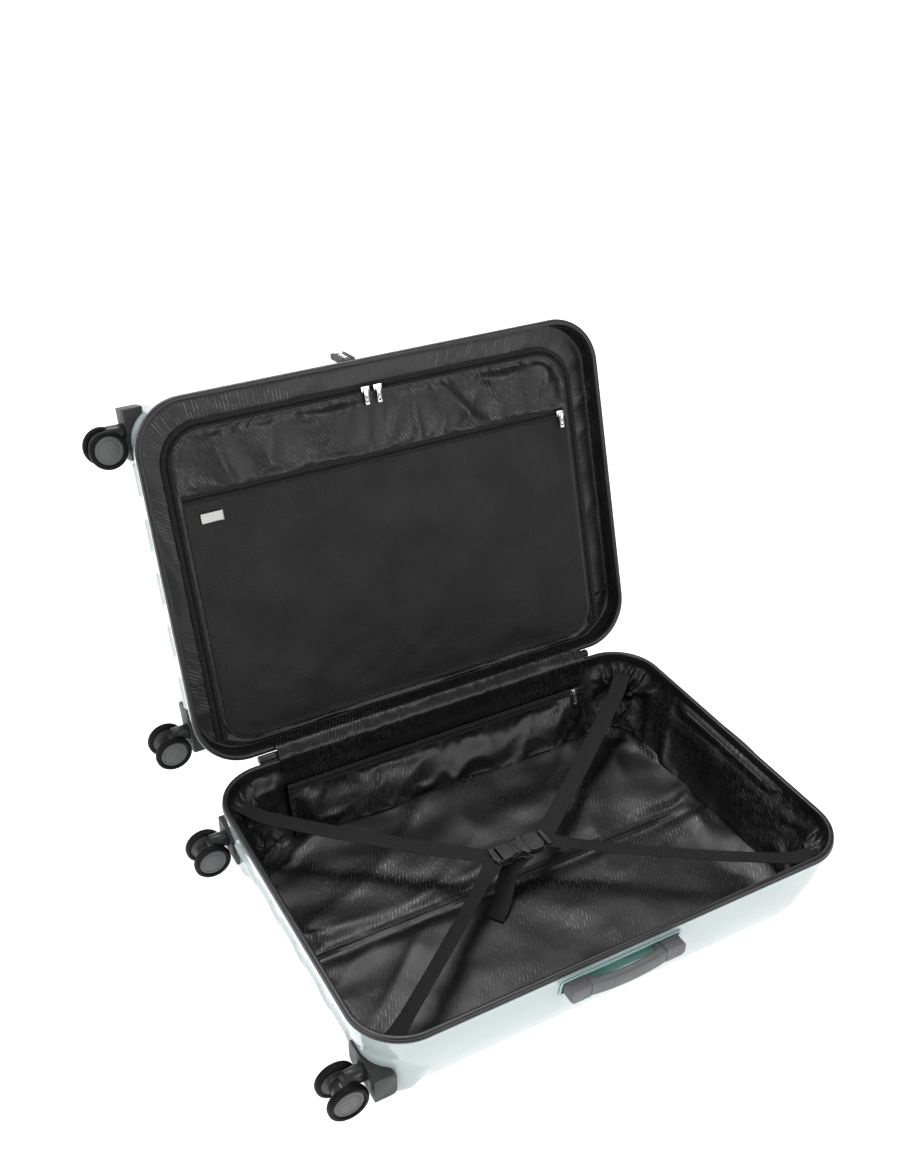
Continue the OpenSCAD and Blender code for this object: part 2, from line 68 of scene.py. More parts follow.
RIM_LOW, RIM_HIGH = (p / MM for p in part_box("base_rim"))
HALF_L, HALF_W, DEPTH = RIM_HIGH.x, RIM_HIGH.y, RIM_HIGH.z
HINGE = Vector(JOINTS["lid_hinge"]["pos_m"]) / MM
LID_OPEN = radians(-JOINTS["lid_hinge"]["range_deg"][0])
RIM_H = 7
TUB_TOP = DEPTH - RIM_H          # where the moulded wall ends under the gasket
RIB_H = 3.5
WALL_T = 3
CORNER_R = 70
SIDE_DRAFT = 17
SIDE_ROUND = 40
TUB_DEPTH = TUB_TOP - RIB_H
RIB_W, RIB_PITCH, RIB_TOP = 44, 75, 104
POD_X, POD_Y, POD_R = HALF_L - 10, HALF_W - 13, 45
POD_FROM = (-262, 150.5)
POD_Z = (36, 110)
FLOOR_Z = 32                     # the base lining's floor
LINING_IN = 5                    # the lining's distance inside the shell's outside
DIVIDER_Z = DEPTH - 24           # the face of the lid's divider
PANEL_X, PANEL_R = 300, 42
PANEL_OVER = 4                   # how far the divider's cloth runs over the zip round it
PANEL_Y = (HALF_W - 452, HALF_W - 20)
ZIP_W = 16
MESH_ZIP_Y = HALF_W - 366

to_metres = Matrix.Scale(MM, 4)
swing = (Matrix.Translation(HINGE) @ Matrix.Rotation(-LID_OPEN, 4, "X")
         @ Matrix.Translation(-HINGE))
shut = Matrix.Translation((0, 0, 2 * HINGE.z)) @ Matrix.Scale(-1, 4, (0, 0, 1))
BASE = to_metres
LID = to_metres @ swing @ shut


# --- Camera ---

def camera(at, azimuth, elevation, roll, lens):
    """The photograph's view: its place in metres and its angles in degrees."""
    cam = bpy.data.objects.new("camera", bpy.data.cameras.new("camera"))
    bpy.context.scene.collection.objects.link(cam)
    a, e = radians(azimuth), radians(elevation)
    back = Vector((sin(a) * cos(e), -cos(a) * cos(e), sin(e)))
    turn = (-back).to_track_quat("-Z", "Y").to_matrix() @ Matrix.Rotation(radians(roll), 3, "Z")
    cam.matrix_world = Matrix.Translation(at) @ turn.to_4x4()
    cam.data.sensor_width = 36
    cam.data.lens = lens
    cam.data.clip_start = 0.05
    bpy.context.scene.camera = cam


camera((-0.74291, -1.09355, 1.36418), -29.638, 33.194, 1.077, 40.79)


# --- Materials ---

def shader(name, colour, rough, **sockets):
    """A principled material with constant values on its own sockets."""
    made = bpy.data.materials.new(name)
    made.use_nodes = True
    surface = made.node_tree.nodes["Principled BSDF"]
    surface.inputs["Base Color"].default_value = (*colour, 1)
    surface.inputs["Roughness"].default_value = rough
    for key, value in sockets.items():
        surface.inputs[key.replace("_", " ")].default_value = value
    return made


def node(made, kind, inputs=None, **settings):
    """A new node in a material, with its inputs set or linked."""
    new = made.node_tree.nodes.new("ShaderNode" + kind)
    for key, value in settings.items():
        setattr(new, key, value)
    for key, value in (inputs or {}).items():
        if isinstance(value, bpy.types.NodeSocket):
            made.node_tree.links.new(value, new.inputs[key])
        else:
            new.inputs[key].default_value = value
    return new


def feed(made, socket, source):
    """Links a node's output to a socket of the material's own shader."""
    made.node_tree.links.new(source, made.node_tree.nodes["Principled BSDF"].inputs[socket])


def ramp(made, value, low, high, from_low=0.0, from_high=1.0):
    """A value carried smoothly from one range to another."""
    inputs = {"Value": value, "From Min": from_low, "From Max": from_high, "To Min": low, "To Max": high}
    return node(made, "MapRange", inputs, interpolation_type="SMOOTHSTEP").outputs["Result"]


def tint(made, factor, dark, light):
    """A colour between two others."""
    mixed = node(made, "Mix", {0: factor, 6: (*dark, 1), 7: (*light, 1)}, data_type="RGBA")
    return mixed.outputs[2]


def maths(made, operation, a, b=0.0, c=0.0):
    return node(made, "Math", {0: a, 1: b, 2: c}, operation=operation).outputs[0]


def noisy(made, coordinates, scale, detail=3.0):
    return node(made, "TexNoise", {"Vector": coordinates, "Scale": scale, "Detail": detail}).outputs["Fac"]


def bumped(made, layers):
    """Bump nodes one after another, each a height and its depth in metres."""
    normal = None
    for height, depth in layers:
        inputs = {"Height": height, "Distance": depth, "Strength": 1.0}
        if normal is not None:
            inputs["Normal"] = normal
        normal = node(made, "Bump", inputs).outputs["Normal"]
    feed(made, "Normal", normal)


def moulded(name, colour, rough, grain=900, depth=0.00006, wear=0.25, cloud=0.35, **sockets):
    """Moulded plastic or rubber: a fine grain, uneven gloss, and edges rubbed lighter."""
    made = shader(name, colour, rough, **sockets)
    at = node(made, "TexCoord").outputs["Object"]
    cloudy = noisy(made, at, 14)
    edge = node(made, "NewGeometry").outputs["Pointiness"]
    rubbed = ramp(made, edge, 0.0, wear, 0.52, 0.62)
    shade = maths(made, "ADD", ramp(made, cloudy, 0.0, cloud, 0.3, 0.7), rubbed)
    dark = [c * 0.88 for c in colour]
    light = [min(1.0, c * 1.25 + 0.015) for c in colour]
    feed(made, "Base Color", tint(made, shade, dark, light))
    feed(made, "Roughness", ramp(made, noisy(made, at, 60), rough * 0.85, rough * 1.15, 0.3, 0.7))
    bumped(made, [(noisy(made, at, grain, 2.0), depth)])
    return made


def cloth_uv(made):
    return node(made, "UVMap", uv_map="cloth").outputs["UV"]


def turned(made, vector, angle, scale):
    """Cloth coordinates turned by an angle in degrees and then scaled."""
    spun = node(made, "VectorRotate", {"Vector": vector, "Angle": radians(angle)}, rotation_type="Z_AXIS")
    return node(made, "VectorMath", {0: spun.outputs[0], 1: (*scale, 1)}, operation="MULTIPLY").outputs[0]


def waves(made, vector, period, axis="X", sharp="SIN"):
    """Even bands across the cloth, period metres apart."""
    inputs = {"Vector": vector, "Scale": 2 * pi / (20 * period)}
    return node(made, "TexWave", inputs, bands_direction=axis, wave_profile=sharp).outputs["Fac"]


def satin(name):
    """Black satin with short slanted dashes pressed into it, which glint where light grazes it; the dashes are also
    painted lighter, a painted glint on the pressed pattern.
    """
    made = shader(name, (0.006, 0.006, 0.0065), 0.36, Specular_IOR_Level=0.48)
    uv = cloth_uv(made)
    split = node(made, "SeparateXYZ", {0: turned(made, uv, 26, (1 / 0.0048, 1 / 0.019))})
    across = maths(made, "ADD", split.outputs[0], maths(made, "MULTIPLY", noisy(made, uv, 25, 1.0), 0.8))
    row = maths(made, "FLOOR", across)
    start = node(made, "TexWhiteNoise", {"W": row}, noise_dimensions="1D").outputs["Value"]
    along = maths(made, "ADD", split.outputs[1], start)
    sides = ramp(made, maths(made, "PINGPONG", across, 0.5), 0.0, 1.0, 0.24, 0.38)
    ends = ramp(made, maths(made, "PINGPONG", along, 0.5), 0.0, 1.0, 0.12, 0.24)
    each = node(made, "CombineXYZ", {0: row, 1: maths(made, "FLOOR", along)}).outputs[0]
    luck = node(made, "TexWhiteNoise", {"Vector": each}, noise_dimensions="2D").outputs["Value"]
    dash = maths(made, "MULTIPLY", maths(made, "MULTIPLY", sides, ends), ramp(made, luck, 0.25, 1.0, 0.1, 0.6))
    worn = noisy(made, uv, 7, 2.0)
    dash_and_glint = maths(made, "MULTIPLY", dash, ramp(made, worn, 0.2, 1.0, 0.38, 0.62))
    # The dashes' lighter colour is a painted glint on the pressed pattern.
    feed(made, "Base Color", tint(made, dash_and_glint, (0.0025, 0.0025, 0.0029), (0.034, 0.034, 0.035)))
    feed(made, "Roughness", ramp(made, dash_and_glint, 0.4, 0.22))
    weave = maths(made, "MULTIPLY", waves(made, uv, 0.0006), waves(made, uv, 0.0006, "Y"))
    creases = node(made, "TexNoise", {"Vector": uv, "Scale": 12.0, "Detail": 1.0, "Distortion": 0.8})
    bumped(made, [(creases.outputs["Fac"], 0.002), (weave, 0.00002), (dash_and_glint, 0.00016)])
    return made


def net(name):
    """Fine hexagonal net: lighter threads round dark holes."""
    made = shader(name, (0.014, 0.014, 0.0145), 0.6, Specular_IOR_Level=0.25)
    uv = cloth_uv(made)
    holes = node(made, "TexVoronoi", {"Vector": turned(made, uv, 38, (1 / 0.0026, 1 / 0.0021)), "Scale": 1.0,
                                      "Randomness": 0.1}, voronoi_dimensions="2D").outputs["Distance"]
    thread = ramp(made, holes, 0.0, 1.0, 0.26, 0.5)
    cloudy = noisy(made, uv, 12, 2.0)
    light = maths(made, "MULTIPLY", thread, ramp(made, cloudy, 0.65, 1.0, 0.35, 0.65))
    feed(made, "Base Color", tint(made, light, (0.002, 0.002, 0.0022), (0.036, 0.036, 0.037)))
    feed(made, "Roughness", ramp(made, thread, 0.75, 0.42))
    bumped(made, [(noisy(made, uv, 14, 1.0), 0.0018), (thread, 0.0003)])
    return made


def woven(name, colour, along, across, depth=0.00025, rough=0.62):
    """Flat webbing or tape: ribs across it and a finer weave along it, with painted shade in the weave's grooves."""
    made = shader(name, colour, rough, Specular_IOR_Level=0.3)
    uv = cloth_uv(made)
    ribs = waves(made, uv, along)
    twill = waves(made, turned(made, uv, 45, (1, 1)), across)
    height = maths(made, "ADD", ribs, maths(made, "MULTIPLY", twill, 0.7))
    fuzz = noisy(made, uv, 320, 3.0)
    # The colour is darker in the weave's grooves and lighter on its ribs, a painted shade; the fuzz is random tone.
    shade = maths(made, "ADD", maths(made, "MULTIPLY", height, 0.35), maths(made, "MULTIPLY", fuzz, 0.5))
    feed(made, "Base Color", tint(made, shade, [c * 0.55 for c in colour], [c * 1.5 for c in colour]))
    feed(made, "Roughness", ramp(made, fuzz, rough * 0.9, rough * 1.1))
    bumped(made, [(height, depth)])
    return made


def stitched(name):
    """A sewn welt: dark thread along it, with long light stitches."""
    made = shader(name, (0.012, 0.012, 0.0125), 0.5, Specular_IOR_Level=0.4)
    uv = cloth_uv(made)
    line = ramp(made, waves(made, uv, 0.0046), 0.0, 1.0, 0.35, 0.6)
    worn = ramp(made, noisy(made, uv, 18, 2.0), 0.15, 1.0, 0.4, 0.6)
    shade = maths(made, "MULTIPLY", line, worn)
    feed(made, "Base Color", tint(made, shade, (0.008, 0.008, 0.0085), (0.11, 0.11, 0.112)))
    feed(made, "Roughness", ramp(made, shade, 0.6, 0.35))
    bumped(made, [(line, 0.0004)])
    return made


def polished(name, colour, rough):
    """Plated metal with faint handling marks."""
    made = shader(name, colour, rough, Metallic=1.0)
    at = node(made, "TexCoord").outputs["Object"]
    marks = noisy(made, at, 220, 4.0)
    feed(made, "Roughness", ramp(made, marks, rough * 0.6, rough * 1.6, 0.3, 0.7))
    feed(made, "Base Color", tint(made, marks, [c * 0.85 for c in colour], colour))
    bumped(made, [(marks, 0.00003)])
    return made


def brushed(name, colour, rough):
    """Aluminium tube brushed along its length."""
    made = shader(name, colour, rough, Metallic=1.0)
    at = node(made, "TexCoord").outputs["Object"]
    drawn = node(made, "VectorMath", {0: at, 1: (4, 900, 900)}, operation="MULTIPLY").outputs[0]
    lines = noisy(made, drawn, 1.0, 4.0)
    feed(made, "Roughness", ramp(made, lines, rough * 0.7, rough * 1.3, 0.3, 0.7))
    feed(made, "Base Color", tint(made, lines, [c * 0.82 for c in colour], colour))
    bumped(made, [(lines, 0.00002)])
    return made


SHELL = moulded("shell_gloss", (0.45, 0.518, 0.52), 0.17, grain=260, depth=0.00002, wear=0.1, cloud=0.08,
                Coat_Weight=0.5, Coat_Roughness=0.06)
TRIM = moulded("trim_plastic", (0.02, 0.0205, 0.021), 0.5)
GASKET = moulded("gasket_rubber", (0.006, 0.006, 0.0065), 0.36, grain=500, wear=0.5)
GRIP = moulded("grip_plastic", (0.1, 0.101, 0.104), 0.48, grain=1400)
TRAY = moulded("tray_plastic", (0.34, 0.56, 0.53), 0.32, grain=500, depth=0.00003)
NYLON = moulded("black_nylon", (0.02, 0.02, 0.0205), 0.3, grain=700)
TREAD = moulded("wheel_rubber", (0.003, 0.003, 0.0033), 0.5, grain=1100, depth=0.0001,
               Specular_IOR_Level=0.12)
HUB = moulded("wheel_hub", (0.1, 0.1, 0.102), 0.5, grain=1200)
SATIN = satin("lining_satin")
NET = net("pocket_net")
TAPE = woven("zip_tape", (0.011, 0.011, 0.0115), 0.0011, 0.0008)
COIL = woven("zip_coil", (0.009, 0.009, 0.0095), 0.0018, 0.0011, depth=0.0006, rough=0.32)
WEBBING = woven("strap_webbing", (0.0125, 0.0125, 0.013), 0.0021, 0.0013, depth=0.0004)
STITCH = stitched("seam_stitches")
PIPING = woven("seam_piping", (0.03, 0.03, 0.031), 0.0009, 0.0007, rough=0.45)
LABEL = woven("label_cloth", (0.62, 0.62, 0.6), 0.0009, 0.0007, depth=0.00012)
CHROME = polished("plated_zinc", (0.78, 0.79, 0.8), 0.16)
TUBE = brushed("brushed_tube", (0.7, 0.71, 0.73), 0.3)


# --- Making pieces ---

def carried(points, space):
    """Points in millimetres carried to the row frame by a space's matrix."""
    m = np.array(space)
    return np.asarray(points, float).reshape(-1, 3) @ m[:3, :3].T + m[:3, 3]


def make(name, points, faces, space, materials, uv=None, spots=None, sharp=32, tidy=False):
    """A mesh object from points in a space, with cloth coordinates in metres and a material for each face."""
    mesh = bpy.data.meshes.new(name)
    if space.determinant() < 0:
        faces = [f[::-1] for f in faces]
    mesh.from_pydata(carried(points, space).tolist(), [], [tuple(f) for f in faces])
    for made in (materials if isinstance(materials, (list, tuple)) else [materials]):
        mesh.materials.append(made)
    if spots is not None:
        mesh.polygons.foreach_set("material_index", np.asarray(spots, np.int32))
    if uv is not None:
        corner = np.zeros(len(mesh.loops), np.int32)
        mesh.loops.foreach_get("vertex_index", corner)
        layer = mesh.uv_layers.new(name="cloth")
        layer.data.foreach_set("uv", (np.asarray(uv, float).reshape(-1, 2)[corner] * MM).ravel())
    if tidy:
        held = bmesh.new()
        held.from_mesh(mesh)
        bmesh.ops.recalc_face_normals(held, faces=held.faces)
        held.to_mesh(mesh)
        held.free()
    mesh.shade_smooth()
    mesh.set_sharp_from_angle(angle=radians(sharp))
    made = bpy.data.objects.new(name, mesh)
    bpy.context.scene.collection.objects.link(made)
    return made


def place(piece, body, slot, *nodes):
    """Rides a piece on a body and hides the CAD nodes it stands for. The slot is not used."""
    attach(piece, body)
    if nodes:
        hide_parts(*nodes)
    return piece


def applied(piece):
    """The piece with its modifiers made final."""
    bpy.context.view_layer.update()
    final = bpy.data.meshes.new_from_object(piece.evaluated_get(bpy.context.evaluated_depsgraph_get()))
    piece.modifiers.clear()
    piece.data = final
    return piece


def finer(piece, levels=1):
    """Subdivides a piece smoothly."""
    mod = piece.modifiers.new("finer", "SUBSURF")
    mod.levels = mod.render_levels = levels
    return applied(piece)


def thick(piece, mm, offset=-1.0):
    """Gives a sheet a thickness in millimetres."""
    mod = piece.modifiers.new("thick", "SOLIDIFY")
    mod.thickness = mm * MM
    mod.offset = offset
    return applied(piece)


def grid_faces(rows, columns, loop=False):
    """Quads of a grid whose points run along its columns first."""
    last = rows if loop else rows - 1
    return [(i * columns + j, (i + 1) % rows * columns + j, (i + 1) % rows * columns + j + 1, i * columns + j + 1)
            for i in range(last) for j in range(columns - 1)]


def spaced(*stops, step):
    """Values from stop to stop, evenly and no more than step apart."""
    values = [stops[0]]
    for a, b in zip(stops, stops[1:]):
        n = max(1, ceil(abs(b - a) / step - 1e-6))
        values += [a + (b - a) * k / n for k in range(1, n + 1)]
    return values


def smooth(t):
    t = max(0.0, min(1.0, t))
    return t * t * (3 - 2 * t)


def hill(value, low, high, soft):
    """1 between low and high, falling smoothly to 0 over soft outside them."""
    return smooth((value - low) / soft + 1) * smooth((high - value) / soft + 1)


def outline(half_x, half_y, radius, arc=12, step=12.0):
    """A rectangle with round corners as points, anticlockwise from the +X side."""
    points = []
    for quarter, (sx, sy) in enumerate([(1, 1), (-1, 1), (-1, -1), (1, -1)]):
        for k in range(arc + 1):
            a = pi / 2 * (quarter + k / arc)
            points.append((sx * (half_x - radius) + radius * cos(a), sy * (half_y - radius) + radius * sin(a)))
        side = 2 * ((half_x - radius) if quarter % 2 == 0 else (half_y - radius))
        n = max(1, round(side / step))
        nx, ny = [(-1, 1), (-1, -1), (1, -1), (1, 1)][quarter]
        x0, y0 = points[-1]
        dx, dy = [(-side, 0), (0, -side), (side, 0), (0, side)][quarter]
        points += [(x0 + dx * k / n, y0 + dy * k / n) for k in range(1, n)]
    return points


# --- Shells ---

def lean(a):
    """How far the wall has come in at angle a along its quarter ellipse."""
    return SIDE_DRAFT * sin(a) + SIDE_ROUND * (1 - cos(a))


class Dish:
    """A skin grow outside a shell, over grid values that run from 0 in the middle to 1 at the corner rounds'
    centre lines, 2 at the floor's edge and 3 at the top."""

    def __init__(self, grow, floor, top):
        self.grow, self.floor = grow, floor
        self.low, self.high = (asin(min(1.0, (TUB_TOP - z) / (TUB_DEPTH + grow))) for z in (floor, top))
        lean_in = lean(self.low) - grow
        self.radius = CORNER_R - 0.3 * lean_in
        self.mid = (HALF_L - lean_in - self.radius, HALF_W - lean_in - self.radius)
        wall = [self.ring(2 + k / 60, 0)[2:] for k in range(61)]
        edge = [(HALF_L - (CORNER_R - r) / 0.3, z) for r, z in wall]
        steps = [hypot(b[0] - a[0], b[1] - a[1]) for a, b in zip(edge, edge[1:])]
        self.climb = np.concatenate([[0], np.cumsum(steps)])

    def ring(self, w, extra):
        """The corner rounds' centre, their radius and the height on ring w."""
        if w <= 2:
            return *self.mid, self.radius * (w - 1), self.floor - extra
        a = self.low + (self.high - self.low) * (w - 2)
        lean_in = lean(a) - self.grow - extra
        r = CORNER_R - 0.3 * lean_in
        return HALF_L - lean_in - r, HALF_W - lean_in - r, r, TUB_TOP - (TUB_DEPTH + self.grow + extra) * sin(a)

    def at(self, p, q, extra=0):
        sx, sy, p, q = (1 if p > 0 else -1), (1 if q > 0 else -1), abs(p), abs(q)
        if p <= 1 and q <= 1:
            return sx * p * self.mid[0], sy * q * self.mid[1], self.floor - extra
        cx, cy, r, z = self.ring(max(p, q), extra)
        if q <= 1:
            return sx * (cx + r), sy * q * self.mid[1], z
        if p <= 1:
            return sx * p * self.mid[0], sy * (cy + r), z
        t = 0.5 * (q - 1) / (p - 1) if q <= p else 1 - 0.5 * (p - 1) / (q - 1)
        first, arc, last = cy - self.mid[1], pi / 2 * r, cx - self.mid[0]
        d = t * (first + arc + last)
        if d < first:
            return sx * (cx + r), sy * (self.mid[1] + d), z
        if d < first + arc:
            a = (d - first) / max(r, 1e-9)
            return sx * (cx + r * cos(a)), sy * (cy + r * sin(a)), z
        return sx * (cx - (d - first - arc)), sy * (cy + r), z

    def flat(self, p, axis):
        """The length along the cloth from the middle to grid value p."""
        a = abs(p)
        if a <= 1:
            run = a * self.mid[axis]
        elif a <= 2:
            run = self.mid[axis] + self.radius * (a - 1)
        else:
            run = self.mid[axis] + self.radius + np.interp((a - 2) * 60, range(61), self.climb)
        return run if p > 0 else -run

    def value_at(self, z):
        """The grid value where the wall is at height z."""
        a = asin(min(1.0, (TUB_TOP - z) / (TUB_DEPTH + self.grow)))
        return 2 + (a - self.low) / (self.high - self.low)


def ribbed(x, y, z):
    """Height of the long ribs at a place on the shell."""
    band = max(hill(y, k * RIB_PITCH - RIB_W / 2 + 2, k * RIB_PITCH + RIB_W / 2 - 2, 4.5) for k in range(-2, 3))
    return RIB_H * band * smooth((RIB_TOP + 2 - z) / 6)


def podded(x, y, z):
    """The place moved out to the raised corner that carries a caster."""
    if x > POD_FROM[0] or abs(y) < POD_FROM[1]:
        return x, y
    share = (smooth((POD_FROM[0] - x) / 34) * smooth((abs(y) - POD_FROM[1]) / 18)
             * smooth((z - POD_Z[0] + 2) / 16) * smooth((POD_Z[1] + 2 - z) / 12))
    dx, dy = -x - (POD_X - POD_R), abs(y) - (POD_Y - POD_R)
    side = 1 if y > 0 else -1
    if dx > 0 and dy > 0:
        out = max(0.0, POD_R - hypot(dx, dy)) * share
        d = max(hypot(dx, dy), 1e-6)
        return x - out * dx / d, y + side * out * dy / d
    if dx - POD_R > dy - POD_R:
        return x - max(0.0, POD_X + x) * share, y
    return x, y + side * max(0.0, POD_Y - abs(y)) * share


def shell_skin(name, space, holes):
    """A shell as one closed wall: its ribbed outside, its plain inside, and the edges of its holes."""
    outer, inner = Dish(0, RIB_H, TUB_TOP), Dish(-WALL_T, RIB_H + WALL_T, TUB_TOP)
    heights = [4.3, 15, 30.2, 34.5, 36, 38, 40, 60, 80, 98, 100.5, 103, 105, 106.8, 112, 114, 116, 118, 120,
               132.2, 137, 139.4, 140.2, 141, 142.3]
    walls = [outer.value_at(z) for z in reversed(heights)][::-1]
    walls = sorted(set(round(v, 6) for v in spaced(2, *walls, 3, step=0.028)))
    rib_edges = [abs(k * RIB_PITCH + s * RIB_W / 2) for k in range(0, 3) for s in (-1, 1)]
    dense = sorted({e + d for e in rib_edges for d in (-2.4, -1.2, 0, 1.2, 2.4)} | {85.7, 105.2})
    y_mid, x_mid, r = outer.mid[1], outer.mid[0], outer.radius
    ys = [v / y_mid for v in spaced(0, *[d for d in dense if d < y_mid], y_mid, step=11)]
    rounds = spaced(*[1 + (d - y_mid) / r for d in dense if d > y_mid], step=0.06)
    rounds = [v for v in spaced(1, *rounds, 2, step=0.06) if v > 1]
    xs = sorted(v / x_mid for v in spaced(-x_mid, *holes.get("lines", []), x_mid, step=14))
    sides = rounds + [v for v in walls if v > 2]
    ps = [-v for v in reversed(sides)] + xs + sides
    qs = [-v for v in reversed(sides)] + [-v for v in reversed(ys) if v > 0] + ys + sides
    points, middles = [], []
    for p in ps:
        for q in qs:
            x, y, z = outer.at(p, q)
            x, y, z = outer.at(p, q, ribbed(x, y, z))
            x, y = podded(x, y, z)
            lip = 0.9 * smooth((z - 139.2) / 1.2)
            points.append((x + lip * np.sign(x) * (abs(p) > 1.7), y + lip * np.sign(y) * (abs(q) > 1.7), z))
    points += [inner.at(p, q) for p in ps for q in qs]
    rows, columns, n = len(ps), len(qs), len(ps) * len(qs)

    def solid(i, j):
        if not (0 <= i < rows - 1 and 0 <= j < columns - 1):
            return False
        p, q = (ps[i] + ps[i + 1]) / 2, (qs[j] + qs[j + 1]) / 2
        x, y, z = outer.at(p, q)
        return not any(a[0] < x < b[0] and a[1] < y < b[1] and a[2] < z < b[2] for a, b in holes.get("boxes", []))

    keep = [[solid(i, j) for j in range(columns)] for i in range(rows)]
    faces = []
    for i in range(rows - 1):
        for j in range(columns - 1):
            if not keep[i][j]:
                continue
            a, b, c, d = (i * columns + j, (i + 1) * columns + j, (i + 1) * columns + j + 1, i * columns + j + 1)
            faces.append((d, c, b, a))
            faces.append((a + n, b + n, c + n, d + n))
            for (u, v), (ni, nj) in (((a, b), (i, j - 1)), ((b, c), (i + 1, j)),
                                     ((c, d), (i, j + 1)), ((d, a), (i - 1, j))):
                if ni < 0 or nj < 0 or not keep[ni][nj]:
                    faces.append((u, v, v + n, u + n))
    piece = make(name, points, faces, space, SHELL, tidy=True, sharp=40)
    held = bmesh.new()
    held.from_mesh(piece.data)
    bmesh.ops.delete(held, geom=[v for v in held.verts if not v.link_faces], context="VERTS")
    held.to_mesh(piece.data)
    held.free()
    return piece


def gasket(name, space):
    """The rubber frame on a rim, with a groove round its outside and a lip inside the wall."""
    profile = [(0.3, 143.05), (0.5, 143.6), (0.5, 145.5), (0.2, 145.8), (-0.5, 146), (-0.5, 146.7), (0.2, 146.9),
               (0.5, 147.2), (0.4, 148.6), (-0.1, 149.5), (-1, 150), (-3, 150.1), (-5, 150), (-6, 149.6),
               (-6.5, 148.8), (-6.6, 147.5), (-6.6, 137), (-6.3, 136.2), (-5.2, 136.2), (-4.8, 137),
               (-4.8, 142.6), (-3, 143.05)]
    rings = []
    for out, z in profile:
        flat = outline(HALF_L + out, HALF_W + out, CORNER_R + out * 0.95, arc=16, step=20)
        rings.append([(x, y, z) for x, y in flat])
    rows = len(rings[0])
    points = [ring[i] for i in range(rows) for ring in rings + rings[:1]]
    faces = grid_faces(rows, len(profile) + 1, loop=True)
    piece = make(name, points, faces, space, GASKET, sharp=60)
    held = bmesh.new()
    held.from_mesh(piece.data)
    bmesh.ops.remove_doubles(held, verts=held.verts, dist=1e-6)
    bmesh.ops.recalc_face_normals(held, faces=held.faces)
    held.to_mesh(piece.data)
    held.free()
    return piece


side_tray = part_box("side_handle_tray")
tray_x = [side_tray[0].x / MM + 1.8, side_tray[1].x / MM - 1.8]
BASE_HOLES = {"lines": tray_x,
              "boxes": [((tray_x[0], -260, 106.8), (tray_x[1], -200, 132.2)),
                        ((300, -85.7, 106.8), (360, 85.7, 132.2)),
                        ((290, -105.2, 4.3), (360, 105.2, 30.2))]}
place(shell_skin("base_shell_skin", BASE, BASE_HOLES), "base", "shell", "base_shell")
place(shell_skin("lid_shell_skin", LID, {}), "lid", "shell", "lid_shell")
place(gasket("base_gasket", BASE), "base", "rim", "base_rim")
place(gasket("lid_gasket", LID), "lid", "rim", "lid_rim")


# --- Cloth ---

def ruffle(u, v, seed, size, stretch=1.0, angle=0.0):
    """Soft folds: ridged noise about size millimetres apart, drawn out by stretch along an angle in degrees."""
    c, s = cos(radians(angle)), sin(radians(angle))
    a, b = (u * c + v * s) / (size * stretch), (v * c - u * s) / size
    bend = noise.noise((a * 0.7 + seed, b * 0.7, 3.1)) * 0.9
    ridge = 1 - abs(noise.noise((a + bend, b + bend * 0.6, seed * 1.7)) * 1.9)
    return max(0.0, ridge) ** 2


def gathers(u, v, at, count, reach, seed):
    """Folds that spread from a sewn point of the cloth, as many as count in a full turn."""
    d = hypot(u - at[0], v - at[1])
    turn = atan2(v - at[1], u - at[0]) + 0.5 * noise.noise((u / 60, v / 60, seed))
    ridge = (0.5 + 0.5 * cos(count * turn + seed)) ** 2.5
    return ridge * smooth((reach - d) / reach) * smooth(d / 25)


def settle(piece, held, slack, frames=22, weight=0.0, proud=9.0, sunk=1.0, stiffness=0.6, facing=None):
    """Lets a sheet that is slack times too big for its place buckle as cloth, then makes the result final.
    held are the points sewn down. Points move at most proud millimetres out of the sheet and sunk behind it."""
    mesh = piece.data
    before = np.zeros(len(mesh.vertices) * 3)
    mesh.vertices.foreach_get("co", before)
    normals = np.zeros(len(mesh.vertices) * 3)
    mesh.vertex_normals.foreach_get("vector", normals)
    before, normals = before.reshape(-1, 3), normals.reshape(-1, 3)
    if facing is not None:
        normals *= np.where((normals @ np.array(facing)) < 0, -1, 1)[:, None]
    group = piece.vertex_groups.new(name="held")
    group.add([int(i) for i in held], 1.0, "REPLACE")
    mod = piece.modifiers.new("cloth", "CLOTH")
    settings = mod.settings
    settings.quality = 4
    settings.mass = 0.15
    settings.tension_stiffness = settings.compression_stiffness = 12
    settings.shear_stiffness = 4
    settings.bending_stiffness = stiffness
    settings.air_damping = 3
    settings.vertex_group_mass = "held"
    settings.shrink_min = -slack
    settings.effector_weights.gravity = weight
    mod.collision_settings.use_collision = False
    mod.collision_settings.use_self_collision = False
    mod.point_cache.frame_start = 1
    mod.point_cache.frame_end = frames
    for step in range(1, frames + 1):
        bpy.context.scene.frame_set(step)
    shown = piece.evaluated_get(bpy.context.evaluated_depsgraph_get())
    after = np.zeros(len(mesh.vertices) * 3)
    shown.data.vertices.foreach_get("co", after)
    piece.modifiers.clear()
    piece.vertex_groups.clear()
    bpy.context.scene.frame_set(1)
    moved = after.reshape(-1, 3) - before
    along = (moved * normals).sum(1)
    sideways = moved - along[:, None] * normals
    reach = np.linalg.norm(sideways, axis=1)
    sideways *= np.minimum(1, 4 * MM / np.maximum(reach, 1e-9))[:, None]
    limit = np.where(along > 0, proud, sunk) * MM
    along = limit * np.tanh(along / limit)
    after = before + sideways + along[:, None] * normals
    mesh.vertices.foreach_set("co", after.ravel())
    mesh.update()
    return piece


def inside_face(piece, space):
    """The direction that a shell's lining faces, in the row frame."""
    up = space.to_3x3() @ Vector((0, 0, 1))
    return tuple(up.normalized())


WELLS = [((-360, s * 213.5 - 15, 63), (-317, s * 213.5 + 15, 93)) for s in (-1, 1)]
COVERS = [((tray_x[0] - 2, -260, 105), (tray_x[1] + 2, -236, 133)), ((333, -89, 105), (360, 89, 133))]


